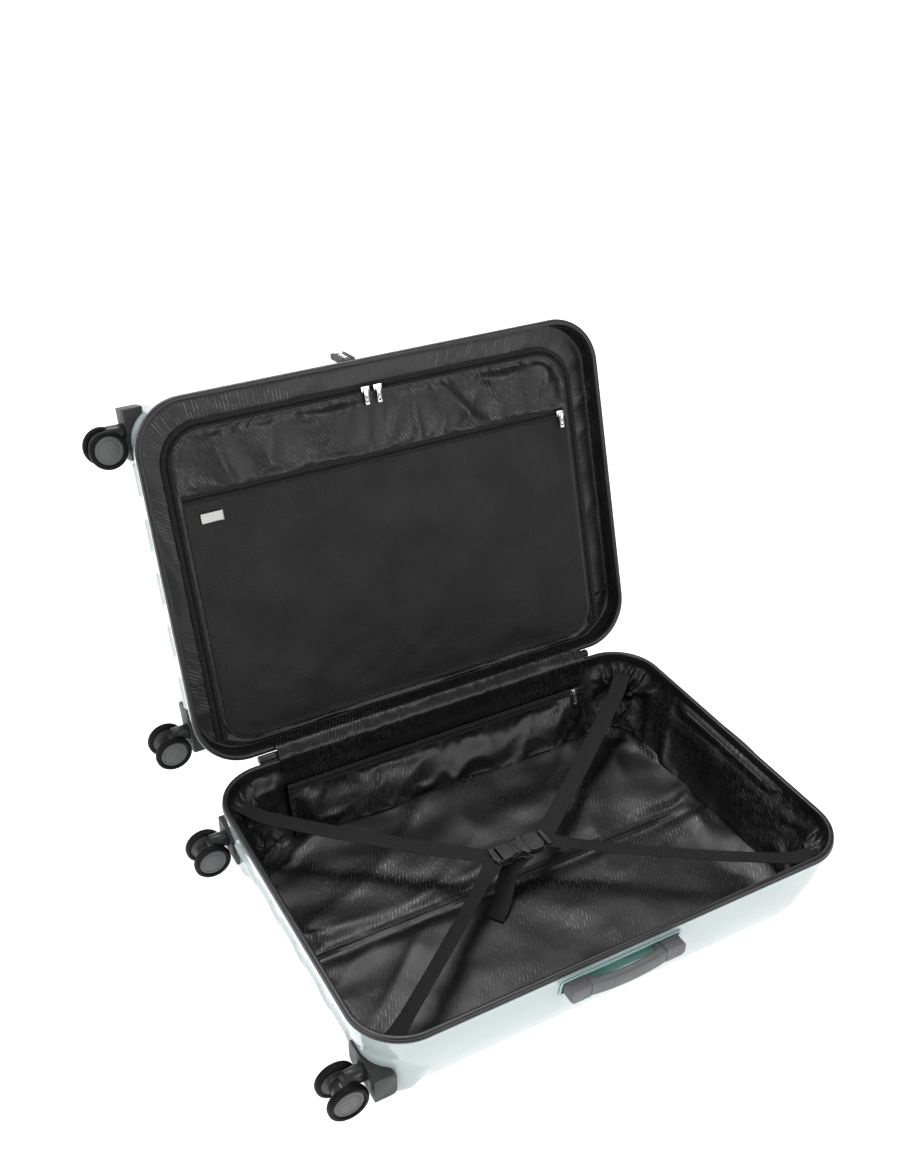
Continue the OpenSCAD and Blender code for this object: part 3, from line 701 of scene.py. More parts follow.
def boxed(x, y, z):
    """The lining pushed in over the wheel bosses and the handle trays, with loose cloth round them."""
    for low, high in WELLS:
        share = hill(y, low[1], high[1], 22) * hill(z, low[2], high[2], 20)
        x += max(0.0, high[0] - x) * share
    low, high = COVERS[0]
    share = hill(x, low[0], high[0], 40) * smooth((z - low[2]) / 30 + 1) * smooth((high[2] - z) / 3.5 + 1)
    y += max(0.0, high[1] - y) * share * (y < 0)
    low, high = COVERS[1]
    share = hill(y, low[1], high[1], 40) * smooth((z - low[2]) / 30 + 1) * smooth((high[2] - z) / 3.5 + 1)
    x -= max(0.0, x - low[0]) * share * (x > 0)
    return x, y, z


def base_lining():
    """The base's lining: one sheet over the floor and up the walls, sewn in under the gasket."""
    dish = Dish(-LINING_IN, FLOOR_Z, 137)
    sides = [v for v in spaced(1, 2, step=0.09) + spaced(2, 3, step=0.033) if v > 1]
    sides = sorted(set(round(v, 5) for v in sides))
    xs = [v / dish.mid[0] for v in spaced(-dish.mid[0], dish.mid[0], step=5.5)]
    ys = [v / dish.mid[1] for v in spaced(-dish.mid[1], dish.mid[1], step=5.5)]
    ps = [-v for v in reversed(sides)] + xs + sides
    qs = [-v for v in reversed(sides)] + ys + sides
    anchor = (dish.flat(2.75, 0) - 22, dish.flat(2.75, 1) - 22)
    points, uv, held = [], [], []
    for i, p in enumerate(ps):
        for j, q in enumerate(qs):
            x, y, z = dish.at(p, q)
            u, v = dish.flat(p, 0), dish.flat(q, 1)
            rise = max(abs(p), abs(q))
            slack = smooth((3 - rise) / 0.25)
            floor = 1 - smooth((rise - 1.8) / 0.4)
            sewn = smooth((abs(y) - 6) / 26) if rise < 2 else 1.0
            swell = 1 + noise.noise((u / 130, v / 75, 0.7)) + 0.5 * noise.noise((u / 60, v / 45, 6.7))
            fold = 5.5 * swell + 3.5 * ruffle(u, v, 1.3, 100, 2.8, 28)
            for sign in (-1, 1):
                fold += 7 * gathers(u, v, (-anchor[0], sign * anchor[1]), 7, 170, 2.0 + sign)
                fold += 11 * gathers(u, v, (anchor[0], sign * anchor[1]), 8, 250, 4.0 + sign)
            fold *= slack * (0.2 + 0.8 * sewn)
            behind = v > 0 and abs(x - 5) < 268 and rise == abs(q) and q > 1.8
            if behind:
                fold *= 1 - 0.95 * smooth((268 - abs(x - 5)) / 30) * smooth((q - 1.8) / 0.15)
            end = smooth((x - 250) / 40) * smooth((anchor[1] - abs(v)) / 30)
            fold += end * slack * 7 * ruffle(u, v, 8.4, 80, 2.8, 65)
            away = Vector((-x if abs(p) > 2 else 0, -y if abs(q) > 2 else 0, 0))
            away = away.normalized() if away.length > 0 else away
            away = (away * (1 - floor) + Vector((0, 0, 1)) * (0.45 + 0.55 * floor)).normalized()
            x, y, z = Vector((x, y, z)) + away * fold
            z = min(z, 137)
            points.append(boxed(x, y, z))
            uv.append((u, v))
            if rise > 2.97 or (behind and q > 2) or (rise < 1.9 and abs(dish.at(p, q)[1]) < 9):
                held.append(len(points) - 1)
    piece = make("base_lining_cloth", points, grid_faces(len(ps), len(qs)), BASE, SATIN, uv=uv, sharp=180)
    settle(piece, held, slack=0.035, weight=0.1, proud=11, sunk=1.5, stiffness=3.0, facing=(0, 0, 1))
    finer(piece)
    place(piece, "base", "lining", "base_lining")


def lid_lining():
    """The lid's lining: a flange round the divider, up to the gasket."""
    z_flange = DIVIDER_Z - 5.2
    half = ((PANEL_X + 3), (PANEL_Y[1] - PANEL_Y[0]) / 2 + 3)
    shift = (PANEL_Y[0] + PANEL_Y[1]) / 2
    inner = [(x, y + shift) for x, y in outline(*half, PANEL_R + 3, arc=16, step=6)]
    dish = Dish(-LINING_IN, z_flange, 137)
    cx, cy, r, _ = dish.ring(2.0, 0)
    rings, flats = [], []
    wall = [dish.ring(2 + k / 5, 0) for k in range(6)]
    count = len(inner)

    def matched(half_x, half_y, radius):
        """An outline with as many points on each side and round as the inner one has."""
        result = []
        run = outline(half_x, half_y, radius, arc=16, step=1000)
        starts = [k * 17 for k in range(4)]
        for quarter in range(4):
            arcs = run[quarter * 17:quarter * 17 + 17]
            result += arcs
            side = 2 * (half[0] - PANEL_R - 3) if quarter % 2 == 0 else 2 * (half[1] - PANEL_R - 3)
            n = max(1, round(side / 6))
            a, b = arcs[-1], run[(quarter * 17 + 17) % len(run)]
            result += [(a[0] + (b[0] - a[0]) * k / n, a[1] + (b[1] - a[1]) * k / n) for k in range(1, n)]
        return result

    edge = matched(cx + r, cy + r, r)
    for k in range(7):
        t = k / 6
        rings.append([(a[0] * (1 - t) + b[0] * t, a[1] * (1 - t) + b[1] * t, z_flange + 1.5 * sin(pi * t) * 0.5)
                      for a, b in zip(inner, edge)])
        flats.append(22 * t)
    for k in range(1, 6):
        cx, cy, r, z = wall[k]
        rings.append([(x, y, z) for x, y in matched(cx + r, cy + r, r)])
        flats.append(22 + 3.2 * k)
    run = 0.0
    points, uv = [], []
    for i in range(count):
        for ring, flat in zip(rings, flats):
            x, y, z = ring[i]
            wave = ruffle(run, flat * 3, 4.2, 70, 1.2) * 1.6 * smooth(flat / 8) * smooth((38 - flat) / 12)
            points.append((x, y, z + wave))
            uv.append((run, flat))
        a, b = edge[i], edge[(i + 1) % count]
        run += hypot(b[0] - a[0], b[1] - a[1])
    faces = grid_faces(count, len(rings), loop=True)
    piece = make("lid_lining_cloth", points, faces, LID, SATIN, uv=uv, sharp=180)
    held = bmesh.new()
    held.from_mesh(piece.data)
    bmesh.ops.recalc_face_normals(held, faces=held.faces)
    held.to_mesh(piece.data)
    held.free()
    place(finer(piece), "lid", "lining", "lid_lining")


def panel_edge(y, grow=0.0):
    """Half the divider's length at a place across it, where its corners are round."""
    r = PANEL_R + grow
    for corner, sign in ((PANEL_Y[0] - grow, 1), (PANEL_Y[1] + grow, -1)):
        d = (y - corner) * sign
        if d < r:
            return PANEL_X + grow - r + sqrt(max(0.0, r * r - (r - d) ** 2))
    return PANEL_X + grow


def divider():
    """The lid's divider: a gathered satin panel over the net pocket's zip, flat behind the net."""
    y0, y1 = PANEL_Y
    y0 -= PANEL_OVER
    rounds = [y0 + (PANEL_R + PANEL_OVER) * (1 - cos(pi / 2 * k / 14)) for k in range(15)]
    ys = rounds + spaced(rounds[-1], MESH_ZIP_Y - 5, step=4.5)[1:]
    ys += spaced(MESH_ZIP_Y - 5, MESH_ZIP_Y + 8, y1 - PANEL_R, step=24)[1:]
    ys += [y1 - PANEL_R * (1 - cos(pi / 2 * k / 8)) for k in range(8)][::-1]
    n = 2 * round(PANEL_X / 4.5)
    points, uv, held = [], [], []
    for i in range(n + 1):
        s = 2 * i / n - 1
        for j, y in enumerate(ys):
            x = s * max(panel_edge(y, PANEL_OVER), 40)
            rim = min(1.0, (1 - abs(s)) * PANEL_X / 25) * min(1.0, (y - y0) / 16)
            seam = smooth((MESH_ZIP_Y - 6 - y) / 16)
            upper = smooth(rim) * seam
            fold = (7.5 * ruffle(x, y, 3.3, 85, 2.4, 58) + 3.0 * ruffle(x, y, 6.1, 45, 3.0, 108)) * upper
            near_zip = smooth((y0 + 26 - y) / 20)
            fold += 2.4 * near_zip * smooth(rim) * ruffle(x, y * 0.4, 9.2, 17, 0.9)
            points.append((x, y, DIVIDER_Z - 0.8 + fold))
            uv.append((x, y))
            if rim < 0.08 or y > MESH_ZIP_Y - 7:
                held.append(len(points) - 1)
    piece = make("divider_cloth", points, grid_faces(n + 1, len(ys)), LID, SATIN, uv=uv, sharp=180)
    facing = inside_face(piece, LID)
    settle(piece, held, slack=0.03, weight=0.2, proud=9, sunk=5, stiffness=2.0, facing=facing)
    finer(piece)
    place(piece, "lid", "lining", "divider_panel")


def net_pocket():
    """The net on the lower part of the divider, sewn on three sides and zipped along the top."""
    y0, y1 = MESH_ZIP_Y + 7, PANEL_Y[1] - 2
    n, m = 100, 58
    points, uv, held = [], [], []
    for i in range(n + 1):
        for j in range(m + 1):
            y = y0 + (y1 - y0) * j / m
            s = 2 * i / n - 1
            x = s * min(PANEL_X - 1.5, panel_edge(y) - 1)
            rim = smooth(min((1 - abs(s)) * PANEL_X, y - y0, y1 - y) / 30)
            rim *= smooth(hypot(max(0, abs(x + 263.5) - 16), max(0, abs(y + 86) - 7)) / 25)
            fold = (2.6 * ruffle(x, y, 7.7, 90, 2.2, 35) + 1.4 * ruffle(x, y, 2.2, 45, 2.0, -30)) * rim
            points.append((x, y, DIVIDER_Z + 1.2 + fold))
            uv.append((x, y))
            if i in (0, n) or j in (0, m):
                held.append(len(points) - 1)
    piece = make("net_pocket_cloth", points, grid_faces(n + 1, m + 1), LID, NET, uv=uv, sharp=180)
    settle(piece, held, slack=0.02, weight=0.15, proud=7, sunk=0.8, facing=inside_face(piece, LID))
    finer(piece)
    place(piece, "lid", "mesh", "mesh_pocket")


def wall_pocket():
    """The zipped pocket on the wall by the hinge."""
    low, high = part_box("wall_pocket")
    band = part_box("wall_pocket_zip")
    foot = Vector((0, low.y, low.z)) / MM
    head = Vector((0, band[1].y, band[1].z)) / MM
    x0, x1 = low.x / MM, high.x / MM
    up = Vector((0, head.y - foot.y - 2.9, head.z - foot.z)).normalized()
    out = Vector((0, -up.z, up.y))
    n, m, height = 92, 16, 70.0
    points, uv, held = [], [], []
    for i in range(n + 1):
        for j in range(m + 1):
            x, t = x0 + (x1 - x0) * i / n, height * j / m
            side = min(i, n - i) / n * (x1 - x0)
            rim = smooth(side / 30) * smooth((height - t) / 18)
            fold = (9 * ruffle(x, t, 2.9, 95, 2.4, 50) + 2.0 * ruffle(x, t, 7.1, 50, 2.4, 40)) * rim
            fold += 6 * smooth(side / 40) * smooth((height - t) / 30) * sin(pi * min(1, t / height + 0.15))
            p = foot + up * t + out * (1.0 + fold)
            points.append((x, p.y, p.z))
            uv.append((x, t))
            if i in (0, n) or j == m or j == 0:
                held.append(len(points) - 1)
    piece = make("wall_pocket_cloth", points, grid_faces(n + 1, m + 1), BASE, SATIN, uv=uv, sharp=180)
    settle(piece, held, slack=0.025, weight=0.2, proud=8, sunk=4, stiffness=3.0, facing=tuple(out))
    finer(piece)
    place(piece, "base", "lining", "wall_pocket")
    return foot, up, out, x0, x1


def hinge_cloth():
    """The sewn cloth over the hinge, from inside one gasket to inside the other."""
    x0, x1 = (p.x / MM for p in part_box("hinge_fabric"))
    rim_in = HALF_W - 7.6
    flap = [Vector((0, rim_in - 1.6 + 1.6 * t, 128 + t * 22.6)) for t in (0, 0.25, 0.5, 0.75, 1)]
    radius = HINGE.y - rim_in
    arc = []
    for k in range(1, 14):
        s = k / 14
        a = pi - LID_OPEN * s
        r = radius - 3.5 * sin(pi * s)
        arc.append(Vector((0, HINGE.y + r * cos(a), HINGE.z + r * sin(a))))
    lid_flap = [swing @ (shut @ p) for p in flap]
    path = flap + arc + lid_flap[::-1]
    run = [0.0]
    for a, b in zip(path, path[1:]):
        run.append(run[-1] + (b - a).length)
    n = 110
    points, uv = [], []
    for i in range(n + 1):
        x = x0 + (x1 - x0) * i / n
        for j, p in enumerate(path):
            free = smooth(min(run[j], run[-1] - run[j]) / 22)
            towards = Vector((0, -(p.z - HINGE.z + 4), -(HINGE.y - p.y) - 4)).normalized()
            wave = (2.0 * ruffle(x, run[j] * 0.6, 5.5, 24, 0.9) + 1.0 * ruffle(x, run[j], 1.9, 60, 2)) * free
            away = Vector((0, -0.82, 0.57))
            q = p + away * wave * 0.8
            points.append((x, q.y, q.z))
            uv.append((x, run[j]))
    piece = make("hinge_cloth", points, grid_faces(n + 1, len(path)), BASE, SATIN, uv=uv, sharp=180)
    finer(piece)
    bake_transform(piece)
    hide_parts("hinge_fabric")


def hinge_profile():
    """The moulded profile round the hinge axis, in short knuckles."""
    reach, knuckle, r = 273, 42, 6.0
    rings = []
    for k in range(13):
        a = -reach + k * knuckle
        rings += [(a + 0.4, r - 1.1), (a + 0.8, r - 0.3), (a + 1.6, r), (a + knuckle - 1.6, r),
                  (a + knuckle - 0.8, r - 0.3), (a + knuckle - 0.4, r - 1.1)]
    n = 28
    points = [(x, HINGE.y + rad * cos(2 * pi * i / n), HINGE.z + rad * sin(2 * pi * i / n))
              for i in range(n) for x, rad in rings]
    count = len(rings)
    ends = [tuple(i * count for i in range(n)), tuple(i * count + count - 1 for i in range(n))]
    piece = make("hinge_profile", points, grid_faces(n, count, loop=True) + ends, BASE, GASKET, tidy=True, sharp=50)
    place(piece, "base", "trim")


base_lining()
hinge_profile()
lid_lining()
divider()
net_pocket()
pocket_foot, pocket_up, pocket_out, pocket_x0, pocket_x1 = wall_pocket()
hinge_cloth()


# --- Zips ---

ZIP_SECTION = [(-1.0, 0.0), (-0.99, 0.7), (-0.93, 1.0), (-0.87, 0.7), (-0.84, 0.4), (-0.46, 0.5), (-0.43, 1.0),
               (-0.37, 1.2), (-0.31, 0.9), (-0.28, 0.3), (-0.2, 0.3), (-0.14, 1.3), (-0.03, 1.7), (0.0, 1.3),
               (0.03, 1.7), (0.14, 1.3), (0.2, 0.3), (0.28, 0.3), (0.31, 0.9), (0.37, 1.2), (0.43, 1.0),
               (0.46, 0.5), (0.84, 0.4), (0.87, 0.7), (0.93, 1.0), (0.99, 0.7), (1.0, 0.0)]
ZIP_COIL = range(10, 16)
ZIP_SEAMS = (0, 1, 2, 5, 6, 7, 18, 19, 20, 23, 24, 25)


def zip_band(name, path, normal, width, space, body, nodes=(), wave=0.0, seam=PIPING):
    """A zip along a path: a tape with piped edges, folded lips beside the coil, and the coil's ridges."""
    up = Vector(normal)
    run, points, uv = 0.0, [], []
    for i, p in enumerate(path):
        a, b = path[max(0, i - 1)], path[min(len(path) - 1, i + 1)]
        across = up.cross(b - a).normalized()
        if i:
            run += (p - path[i - 1]).length
        for share, height in ZIP_SECTION:
            lift = wave * abs(share) * noise.noise((run / 17, share * 0.6, 4.4))
            points.append(p + across * share * width / 2 + up * (height + max(-0.2, lift)))
            uv.append((run, share * width / 2))
    columns = len(ZIP_SECTION)
    spots = [1 if j in ZIP_COIL else 2 if j in ZIP_SEAMS else 0
             for _ in range(len(path) - 1) for j in range(columns - 1)]
    faces = [f[::-1] for f in grid_faces(len(path), columns)]
    piece = make(name, points, faces, space, [TAPE, COIL, seam], uv=uv, spots=spots, sharp=60)
    return place(piece, body, "zip", *nodes)


def divider_zip_path():
    """Along the zip's middle, from the hinge side round the divider's two outer corners."""
    grow = 1 + ZIP_W / 2
    x, y0, r = PANEL_X + grow, PANEL_Y[0] - grow, PANEL_R + grow
    path = [Vector((-x, y, DIVIDER_Z - 2.4)) for y in spaced(PANEL_Y[1] - 8, y0 + r, step=4)]
    path += [Vector((-x + r - r * cos(a), y0 + r - r * sin(a), DIVIDER_Z - 2.4))
             for a in (pi / 2 * k / 14 for k in range(1, 15))]
    path += [Vector((v, y0, DIVIDER_Z - 2.4)) for v in spaced(-x + r, x - r, step=4)[1:]]
    path += [Vector((x - r + r * sin(a), y0 + r - r * cos(a), DIVIDER_Z - 2.4))
             for a in (pi / 2 * k / 14 for k in range(1, 15))]
    path += [Vector((x, y, DIVIDER_Z - 2.4)) for y in spaced(y0 + r, PANEL_Y[1] - 8, step=4)[1:]]
    return path


def line(a, b, step=4):
    """Points along a straight line, step apart."""
    a, b = Vector(a), Vector(b)
    return [a.lerp(b, t) for t in spaced(0, 1, step=step / (b - a).length)]


zip_band("divider_zip_band", divider_zip_path(), (0, 0, 1), ZIP_W - 0.5, LID, "lid", ["divider_zip"], 1.6)
zip_band("net_zip_band", line((-PANEL_X + 2, MESH_ZIP_Y, DIVIDER_Z + 0.3), (PANEL_X - 2, MESH_ZIP_Y, DIVIDER_Z + 0.3)),
         (0, 0, 1), 14, LID, "lid", ["mesh_zip"])
floor_low, floor_high = (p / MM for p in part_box("floor_zip"))
zip_band("floor_zip_band", line((floor_low.x, 0, FLOOR_Z + 0.9), (floor_high.x, 0, FLOOR_Z + 0.9)),
         (0, 0, 1), 12, BASE, "base", ["floor_zip"], seam=STITCH)
zip_at = pocket_foot + pocket_up * 76 + pocket_out * 1.6
zip_band("wall_zip_band", line((pocket_x0, zip_at.y, zip_at.z), (pocket_x1, zip_at.y, zip_at.z)),
         pocket_out, 12, BASE, "base", ["wall_pocket_zip"])


# --- Straps and buckle ---

STRAP_W, STRAP_T = 25, 1.5
STRAP_ROLL = (-28, 12)           # the two front straps, in degrees
SOCKET = [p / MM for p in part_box("buckle_socket")]
PLUG = [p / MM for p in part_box("buckle_plug")]


def ribbon(name, path, width, thickness, made, space, body, slot, ups=None, nodes=()):
    """Flat webbing along a path, with its selvedges rounded."""
    section = [(-1, 0.5), (-0.97, 0.1), (-0.9, 0), (-0.3, 0), (0.3, 0), (0.9, 0), (0.97, 0.1), (1, 0.5),
               (0.97, 0.9), (0.9, 1), (0.3, 1), (-0.3, 1), (-0.9, 1), (-0.97, 0.9)]
    points, uv, run = [], [], 0.0
    for i, p in enumerate(path):
        a, b = path[max(0, i - 1)], path[min(len(path) - 1, i + 1)]
        up = Vector(ups[i]) if ups else Vector((0, 0, 1))
        across = up.cross(b - a).normalized()
        normal = (b - a).cross(across).normalized()
        if i:
            run += (p - path[i - 1]).length
        for share, rise in section + section[:1]:
            points.append(p + across * share * width / 2 + normal * rise * thickness)
            uv.append((run, share * width / 2 + (30 if rise > 0.6 else 0)))
    columns = len(section) + 1
    faces = [f[::-1] for f in grid_faces(len(path), columns)]
    faces.append(tuple(range(columns - 1)))
    faces.append(tuple(range((len(path) - 1) * columns, len(path) * columns - 1))[::-1])
    piece = make(name, points, faces, space, made, uv=uv, sharp=50)
    held = bmesh.new()
    held.from_mesh(piece.data)
    bmesh.ops.remove_doubles(held, verts=held.verts, dist=1e-6)
    bmesh.ops.recalc_face_normals(held, faces=held.faces)
    held.to_mesh(piece.data)
    held.free()
    return place(piece, body, slot, *nodes)


def packing_strap(name, corner, end, sag, roll, nodes=()):
    """A strap from its anchor under the gasket to the buckle, a little slack and rolled by so many degrees."""
    corner, end = Vector(corner), Vector(end)
    along = (end - corner).normalized()
    path, ups = [], []
    for k in range(41):
        t = k / 40
        p = corner.lerp(end, t)
        p.z -= sag * 4 * t * (1 - t)
        p.z += 12 * smooth(1 - t * 8)
        path.append(p)
        turn = radians(roll) * smooth(t / 0.22) * smooth((1 - t) / 0.16)
        ups.append(Matrix.Rotation(turn, 3, along) @ Vector((0, 0, 1)))
    return ribbon(name, path, STRAP_W, STRAP_T, WEBBING, BASE, "base", "webbing", ups, nodes)


left = [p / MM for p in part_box("left_straps")]
right = [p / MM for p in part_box("right_straps")]
strap_z = left[1].z - 2
buckle_z = (SOCKET[0].z + SOCKET[1].z) / 2 - 0.5
for side, tag, left_roll, right_roll in ((-1, "front", STRAP_ROLL[0], STRAP_ROLL[1]), (1, "back", 0, 0)):
    packing_strap(f"strap_left_{tag}", (-324, side * 226, strap_z), (SOCKET[0].x + 3, side * 4, buckle_z), 7,
                  left_roll, ["left_straps"] if side < 0 else ())
    packing_strap(f"strap_right_{tag}", (322, side * 224, strap_z), (PLUG[1].x - 2, side * 4, buckle_z), 7,
                  right_roll, ["right_straps"] if side < 0 else ())


def strap_tail():
    """The loose end of the adjusting strap, hanging from the buckle to the floor."""
    route = [(4, -3, buckle_z - 9), (-10, -7, buckle_z - 11), (-24, -12, buckle_z - 16), (-36, -20, buckle_z - 25),
             (-47, -32, buckle_z - 35), (-60, -45, buckle_z - 42), (-76, -57, FLOOR_Z + 6)]
    path = []
    for i in range(len(route) - 1):
        p = [Vector(route[max(0, min(len(route) - 1, i + k))]) for k in (-1, 0, 1, 2)]
        for t in (0, 0.2, 0.4, 0.6, 0.8):
            path.append(0.5 * (2 * p[1] + (p[2] - p[0]) * t + (2 * p[0] - 5 * p[1] + 4 * p[2] - p[3]) * t * t
                               + (3 * p[1] - p[0] - 3 * p[2] + p[3]) * t ** 3))
    path.append(Vector(route[-1]))
    ribbon("strap_tail", path, STRAP_W, STRAP_T, WEBBING, BASE, "base", "webbing")


strap_tail()


def slab(name, flat, low, high, made, body, slot, nodes=(), bevel=1.2, space=BASE, dome=0.0):
    """A flat outline given a thickness, with rounded edges and a flat top. The dome argument is not used."""
    n = len(flat)
    points = [(x, y, low) for x, y in flat] + [(x, y, high) for x, y in flat]
    faces = [tuple(range(n))[::-1], tuple(range(n, 2 * n))]
    faces += [(i, (i + 1) % n, (i + 1) % n + n, i + n) for i in range(n)]
    piece = make(name, points, faces, space, made, tidy=True, sharp=40)
    rounded_edges(piece, bevel)
    return place(applied(piece), body, slot, *nodes)


def rounded_edges(piece, width, segments=3, angle=35):
    """Bevels a piece's sharp edges, as a mould would."""
    mod = piece.modifiers.new("rounded", "BEVEL")
    mod.width = width * MM
    mod.segments = segments
    mod.limit_method = "ANGLE"
    mod.angle_limit = radians(angle)
    mod.harden_normals = True
    mod.use_clamp_overlap = True
    return piece


def mirrored(half):
    """An outline from its upper half, mirrored in Y."""
    return half + [(x, -y) for x, y in reversed(half)]


def buckle():
    """The side-release buckle: a hollow socket with side windows, and a plug with three prongs."""
    x0, x1 = SOCKET[0].x, SOCKET[1].x
    w, low, high = SOCKET[1].y, SOCKET[0].z, SOCKET[1].z
    tab = mirrored([(x0, 8), (x0 + 2.5, 12.5), (x0 + 9, 14)])
    slab("buckle_socket_tab", tab, high - 3.4, high - 0.4, NYLON, "base", "trim")
    body = mirrored([(x0 + 11.5, 14.5), (x0 + 25, 14), (x0 + 29, 11), (x0 + 43, 11), (x0 + 47, w), (x1, w)])
    slab("buckle_socket_top", body, high - 3, high, NYLON, "base", "trim", ["buckle_socket"])
    slab("buckle_socket_base", body, low, low + 3, NYLON, "base", "trim")
    for s, tag in ((-1, "front"), (1, "back")):
        wall = [(x0 + 2, s * 14.5), (x0 + 20, s * 14), (x0 + 20, s * 11.5), (x0 + 2, s * 11.5)]
        slab(f"buckle_socket_wall_{tag}", wall, low + 2, high - 2, NYLON, "base", "trim", bevel=0.4)
    for k, x in enumerate((x0 + 31, x0 + 38)):
        bar = [(x, -10.4), (x + 3.4, -10.4), (x + 3.4, 10.4), (x, 10.4)]
        slab(f"buckle_bar_{k + 1}", bar, high - 1, high + 1.6, NYLON, "base", "trim", bevel=0.8)
    a, b = PLUG[0].x, PLUG[1].x
    yoke = mirrored([(x1 + 0.6, 11.5), (x1 + 5, w - 1), (x1 + 19, w - 1), (x1 + 24, 11)])
    slab("buckle_plug_body", yoke, PLUG[0].z + 1, PLUG[1].z, NYLON, "base", "trim", ["buckle_plug"])
    slab("buckle_plug_frame", mirrored([(x1 + 20, 6), (b - 2, 7)]), PLUG[0].z + 1, PLUG[1].z - 5, NYLON,
         "base", "trim")
    slab("buckle_plug_bar", mirrored([(b - 6.5, 13), (b - 5, 14.5), (b - 1, 14.5), (b, 13)]), PLUG[0].z + 2,
         PLUG[1].z - 0.6, NYLON, "base", "trim")
    for s, tag in ((-1, "front"), (1, "back")):
        arm = [(x1 + 2, s * 9), (x1 - 12, s * 10), (a + 8, s * 13.5), (a + 2, s * 12), (a, s * 9), (a + 4, s * 7),
               (x1 - 10, s * 6.5), (x1 + 2, s * 6)]
        slab(f"buckle_prong_{tag}", arm, low + 3.6, high - 3.6, NYLON, "base", "trim", bevel=0.8)
    slab("buckle_tongue", mirrored([(x1 + 2, 2.2), (a + 10, 1.6)]), low + 4, high - 4, NYLON, "base", "trim",
         bevel=0.6)


buckle()


# --- Label ---

def label():
    low, high = PANEL_X - 21, 0
    x0, x1, y0, y1 = -279, -248, HALF_W - 345, HALF_W - 332
    points, uv = [], []
    for i in range(13):
        for j in range(7):
            x, y = x0 + (x1 - x0) * i / 12, y0 + (y1 - y0) * j / 6
            points.append((x, y, DIVIDER_Z + 3.4 + 0.5 * sin(i * 0.6) * (j / 6) + 0.7 * abs(j - 3) / 3))
            uv.append((x, y))
    piece = make("label_cloth", points, grid_faces(13, 7), LID, LABEL, uv=uv, sharp=180)
    thick(piece, 0.5, 0.0)
    place(piece, "lid", "label", "label")


label()


# --- Wheels ---

def wheel(number, side):
    """A caster's wheel: a rubber tyre with two fine grooves on a dished plastic hub."""
    name = f"caster_{number}_wheel_{side}"
    joint = JOINTS[f"{name}_spin"]
    low, high = (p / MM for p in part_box(name))
    middle = (low + high) / 2
    axis = Vector(joint["axis"]).normalized()
    fork_low, fork_high = (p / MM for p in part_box(f"caster_{number}_fork"))
    if (middle - (fork_low + fork_high) / 2).dot(axis) < 0:
        axis = -axis
    r, h = (high.x - low.x) / 2, 5.5
    tyre = [(r - 6.5, h - 2.6), (r - 5.6, h - 0.8), (r - 4.6, h - 0.15), (r - 3.2, h), (r - 2, h - 0.35),
            (r - 0.9, h - 1.2), (r - 0.2, h - 2.4), (r, h - 3.4), (r, 1.5), (r - 0.5, 1.2), (r - 0.5, 0.8), (r, 0.5),
            (r, -0.5), (r - 0.5, -0.8), (r - 0.5, -1.2), (r, -1.5), (r, 3.4 - h), (r - 0.3, 2.2 - h),
            (r - 1.2, 1 - h), (r - 2.6, 0.2 - h), (r - 4.4, -h), (r - 6, 1.6 - h)]
    hub = [(0.01, h - 1.4), (4, h - 1.45), (12, h - 1.6), (13.4, h - 1.9), (13.9, h - 2.4), (14.4, h - 2.4),
           (14.9, h - 1.9), (r - 8.4, h - 1.8), (r - 7.2, h - 2.1), (r - 6.5, h - 2.6)]
    back = [(r - 6, 1.6 - h), (r - 6.4, 2.4 - h), (9, 2.4 - h), (8, 0.2 - h), (3.6, 0.2 - h)]
    profile = hub + tyre[1:] + back[1:]
    spots_of = [1] * (len(hub) - 1) + [0] * (len(tyre) - 1) + [1] * (len(back) - 1)
    first = axis.orthogonal().normalized()
    second = axis.cross(first)
    n = 72
    points = [middle + axis * z + (first * cos(2 * pi * i / n) + second * sin(2 * pi * i / n)) * rad
              for i in range(n) for rad, z in profile]
    faces = grid_faces(n, len(profile), loop=True)
    spots = spots_of * n
    cap = tuple(i * len(profile) for i in range(n))
    piece = make(f"{name}_tyre", points, faces + [cap], BASE, [TREAD, HUB], spots=spots + [1], sharp=30, tidy=True)
    place(piece, name, "wheel", name)


for number in range(1, 5):
    for side in "ab":
        wheel(number, side)


# --- CAD nodes that stay, with better finishes ---

def finish_node(name, made, bevel=0.5, segments=2):
    """Gives a CAD node its material, welded corners and moulded edges."""
    piece = frame["nodes"][name]
    piece.data.materials.clear()
    piece.data.materials.append(made)
    weld = piece.modifiers.new("weld", "WELD")
    weld.merge_threshold = 1e-5
    if bevel:
        rounded_edges(piece, bevel, segments)
    piece.data.shade_smooth()
    piece.data.set_sharp_from_angle(angle=radians(32))


FINISHES = {
    "side_handle_tray": (TRAY, 0.6), "side_handle_mounts": (GRIP, 1.0), "side_handle_grip": (GRIP, 1.0),
    "top_handle_mounts": (GRIP, 0.7), "top_handle_grip": (GRIP, 1.0), "trolley_bezel": (TRIM, 0.8),
    "trolley_foot": (TRIM, 0.6), "trolley_outer_tubes": (TUBE, 0.3), "trolley_middle_tubes": (TUBE, 0.3),
    "trolley_inner_tubes": (TUBE, 0.3), "trolley_grip": (GRIP, 1.2), "trolley_button": (CHROME, 0.6),
    "lock_case": (TRIM, 0.8), "lock_button": (CHROME, 0.4), "wall_zip_slider": (CHROME, 0.5),
    "wall_zip_puller": (CHROME, 0.3), "mesh_slider": (CHROME, 0.5), "mesh_puller": (CHROME, 0.3)}
FINISHES.update({f"divider_slider_{k}": (CHROME, 0.5) for k in (1, 2)})
FINISHES.update({f"divider_puller_{k}": (CHROME, 0.3) for k in (1, 2)})
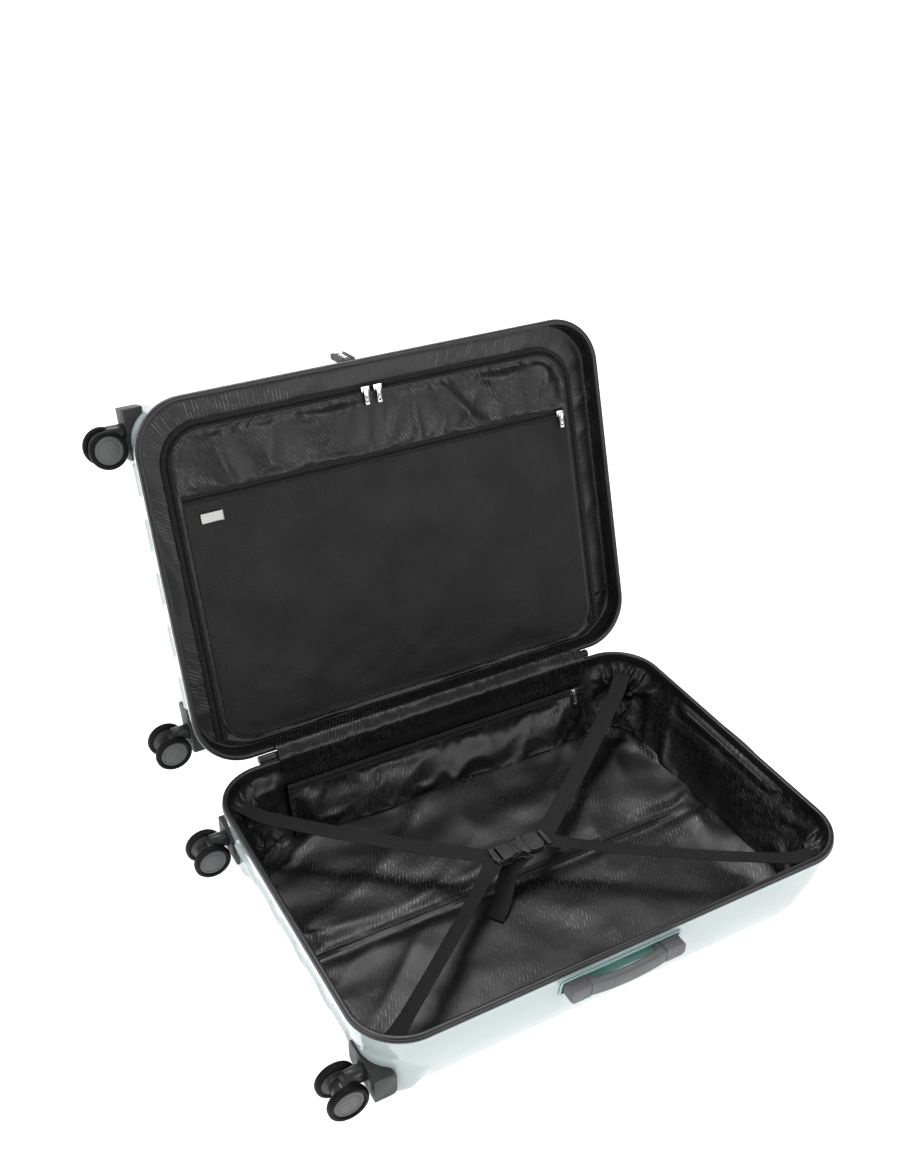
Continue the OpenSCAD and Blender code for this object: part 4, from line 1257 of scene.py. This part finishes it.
FINISHES.update({f"lock_dial_{k}": (CHROME, 0.3) for k in (1, 2, 3)})
FINISHES.update({f"caster_{k}_housing": (TRIM, 1.0) for k in range(1, 5)})
FINISHES.update({f"caster_{k}_fork": (NYLON, 0.8) for k in range(1, 5)})
for name, (made, bevel) in FINISHES.items():
    finish_node(name, made, bevel)


# --- Stage and light ---

def stage():
    """A pale floor that curves up behind."""
    points, faces = [], []
    reach, back = 6.0, 4.5
    profile = [(-reach, 0)] + [(back + 1.5 * sin(a), 1.5 * (1 - cos(a))) for a in (pi / 2 * k / 12 for k in range(13))]
    profile.append((back + 1.5, 5.0))
    for x in (-reach, reach):
        points += [(x, y, z) for y, z in profile]
    faces = grid_faces(2, len(profile))
    floor = make("studio_floor", points, faces, Matrix.Identity(4), FLOOR, sharp=180)


def lamp(name, at, target, size, power, colour=(1, 1, 1)):
    light = bpy.data.lights.new(name, "AREA")
    light.shape = "RECTANGLE"
    light.size, light.size_y = size
    light.energy = power
    light.color = colour
    held = bpy.data.objects.new(name, light)
    bpy.context.scene.collection.objects.link(held)
    held.location = at
    held.rotation_euler = (Vector(target) - Vector(at)).to_track_quat("-Z", "Y").to_euler()


FLOOR = shader("studio_paper", (0.94, 0.94, 0.94), 0.9, Specular_IOR_Level=0.2, Emission_Strength=0.62)
FLOOR.node_tree.nodes["Principled BSDF"].inputs["Emission Color"].default_value = (1, 1, 1, 1)
feed(FLOOR, "Base Color", tint(FLOOR, noisy(FLOOR, node(FLOOR, "TexCoord").outputs["Object"], 3.0),
                               (0.93, 0.93, 0.93), (0.95, 0.95, 0.95)))
bpy.context.scene.view_settings.view_transform = "Standard"
stage()
world = bpy.data.worlds.new("studio")
bpy.context.scene.world = world
world.use_nodes = True
world.node_tree.nodes["Background"].inputs["Color"].default_value = (1, 1, 1, 1)
world.node_tree.nodes["Background"].inputs["Strength"].default_value = 0.3
lamp("top_light", (0.25, 1.1, 2.7), (0, 0, 0.1), (1.8, 1.0), 44)
lamp("left_light", (-2.3, -0.7, 1.9), (0, 0.1, 0.2), (1.4, 1.6), 40)
lamp("front_light", (1.3, -2.8, 1.7), (0, 0, 0.2), (2.2, 1.4), 36)
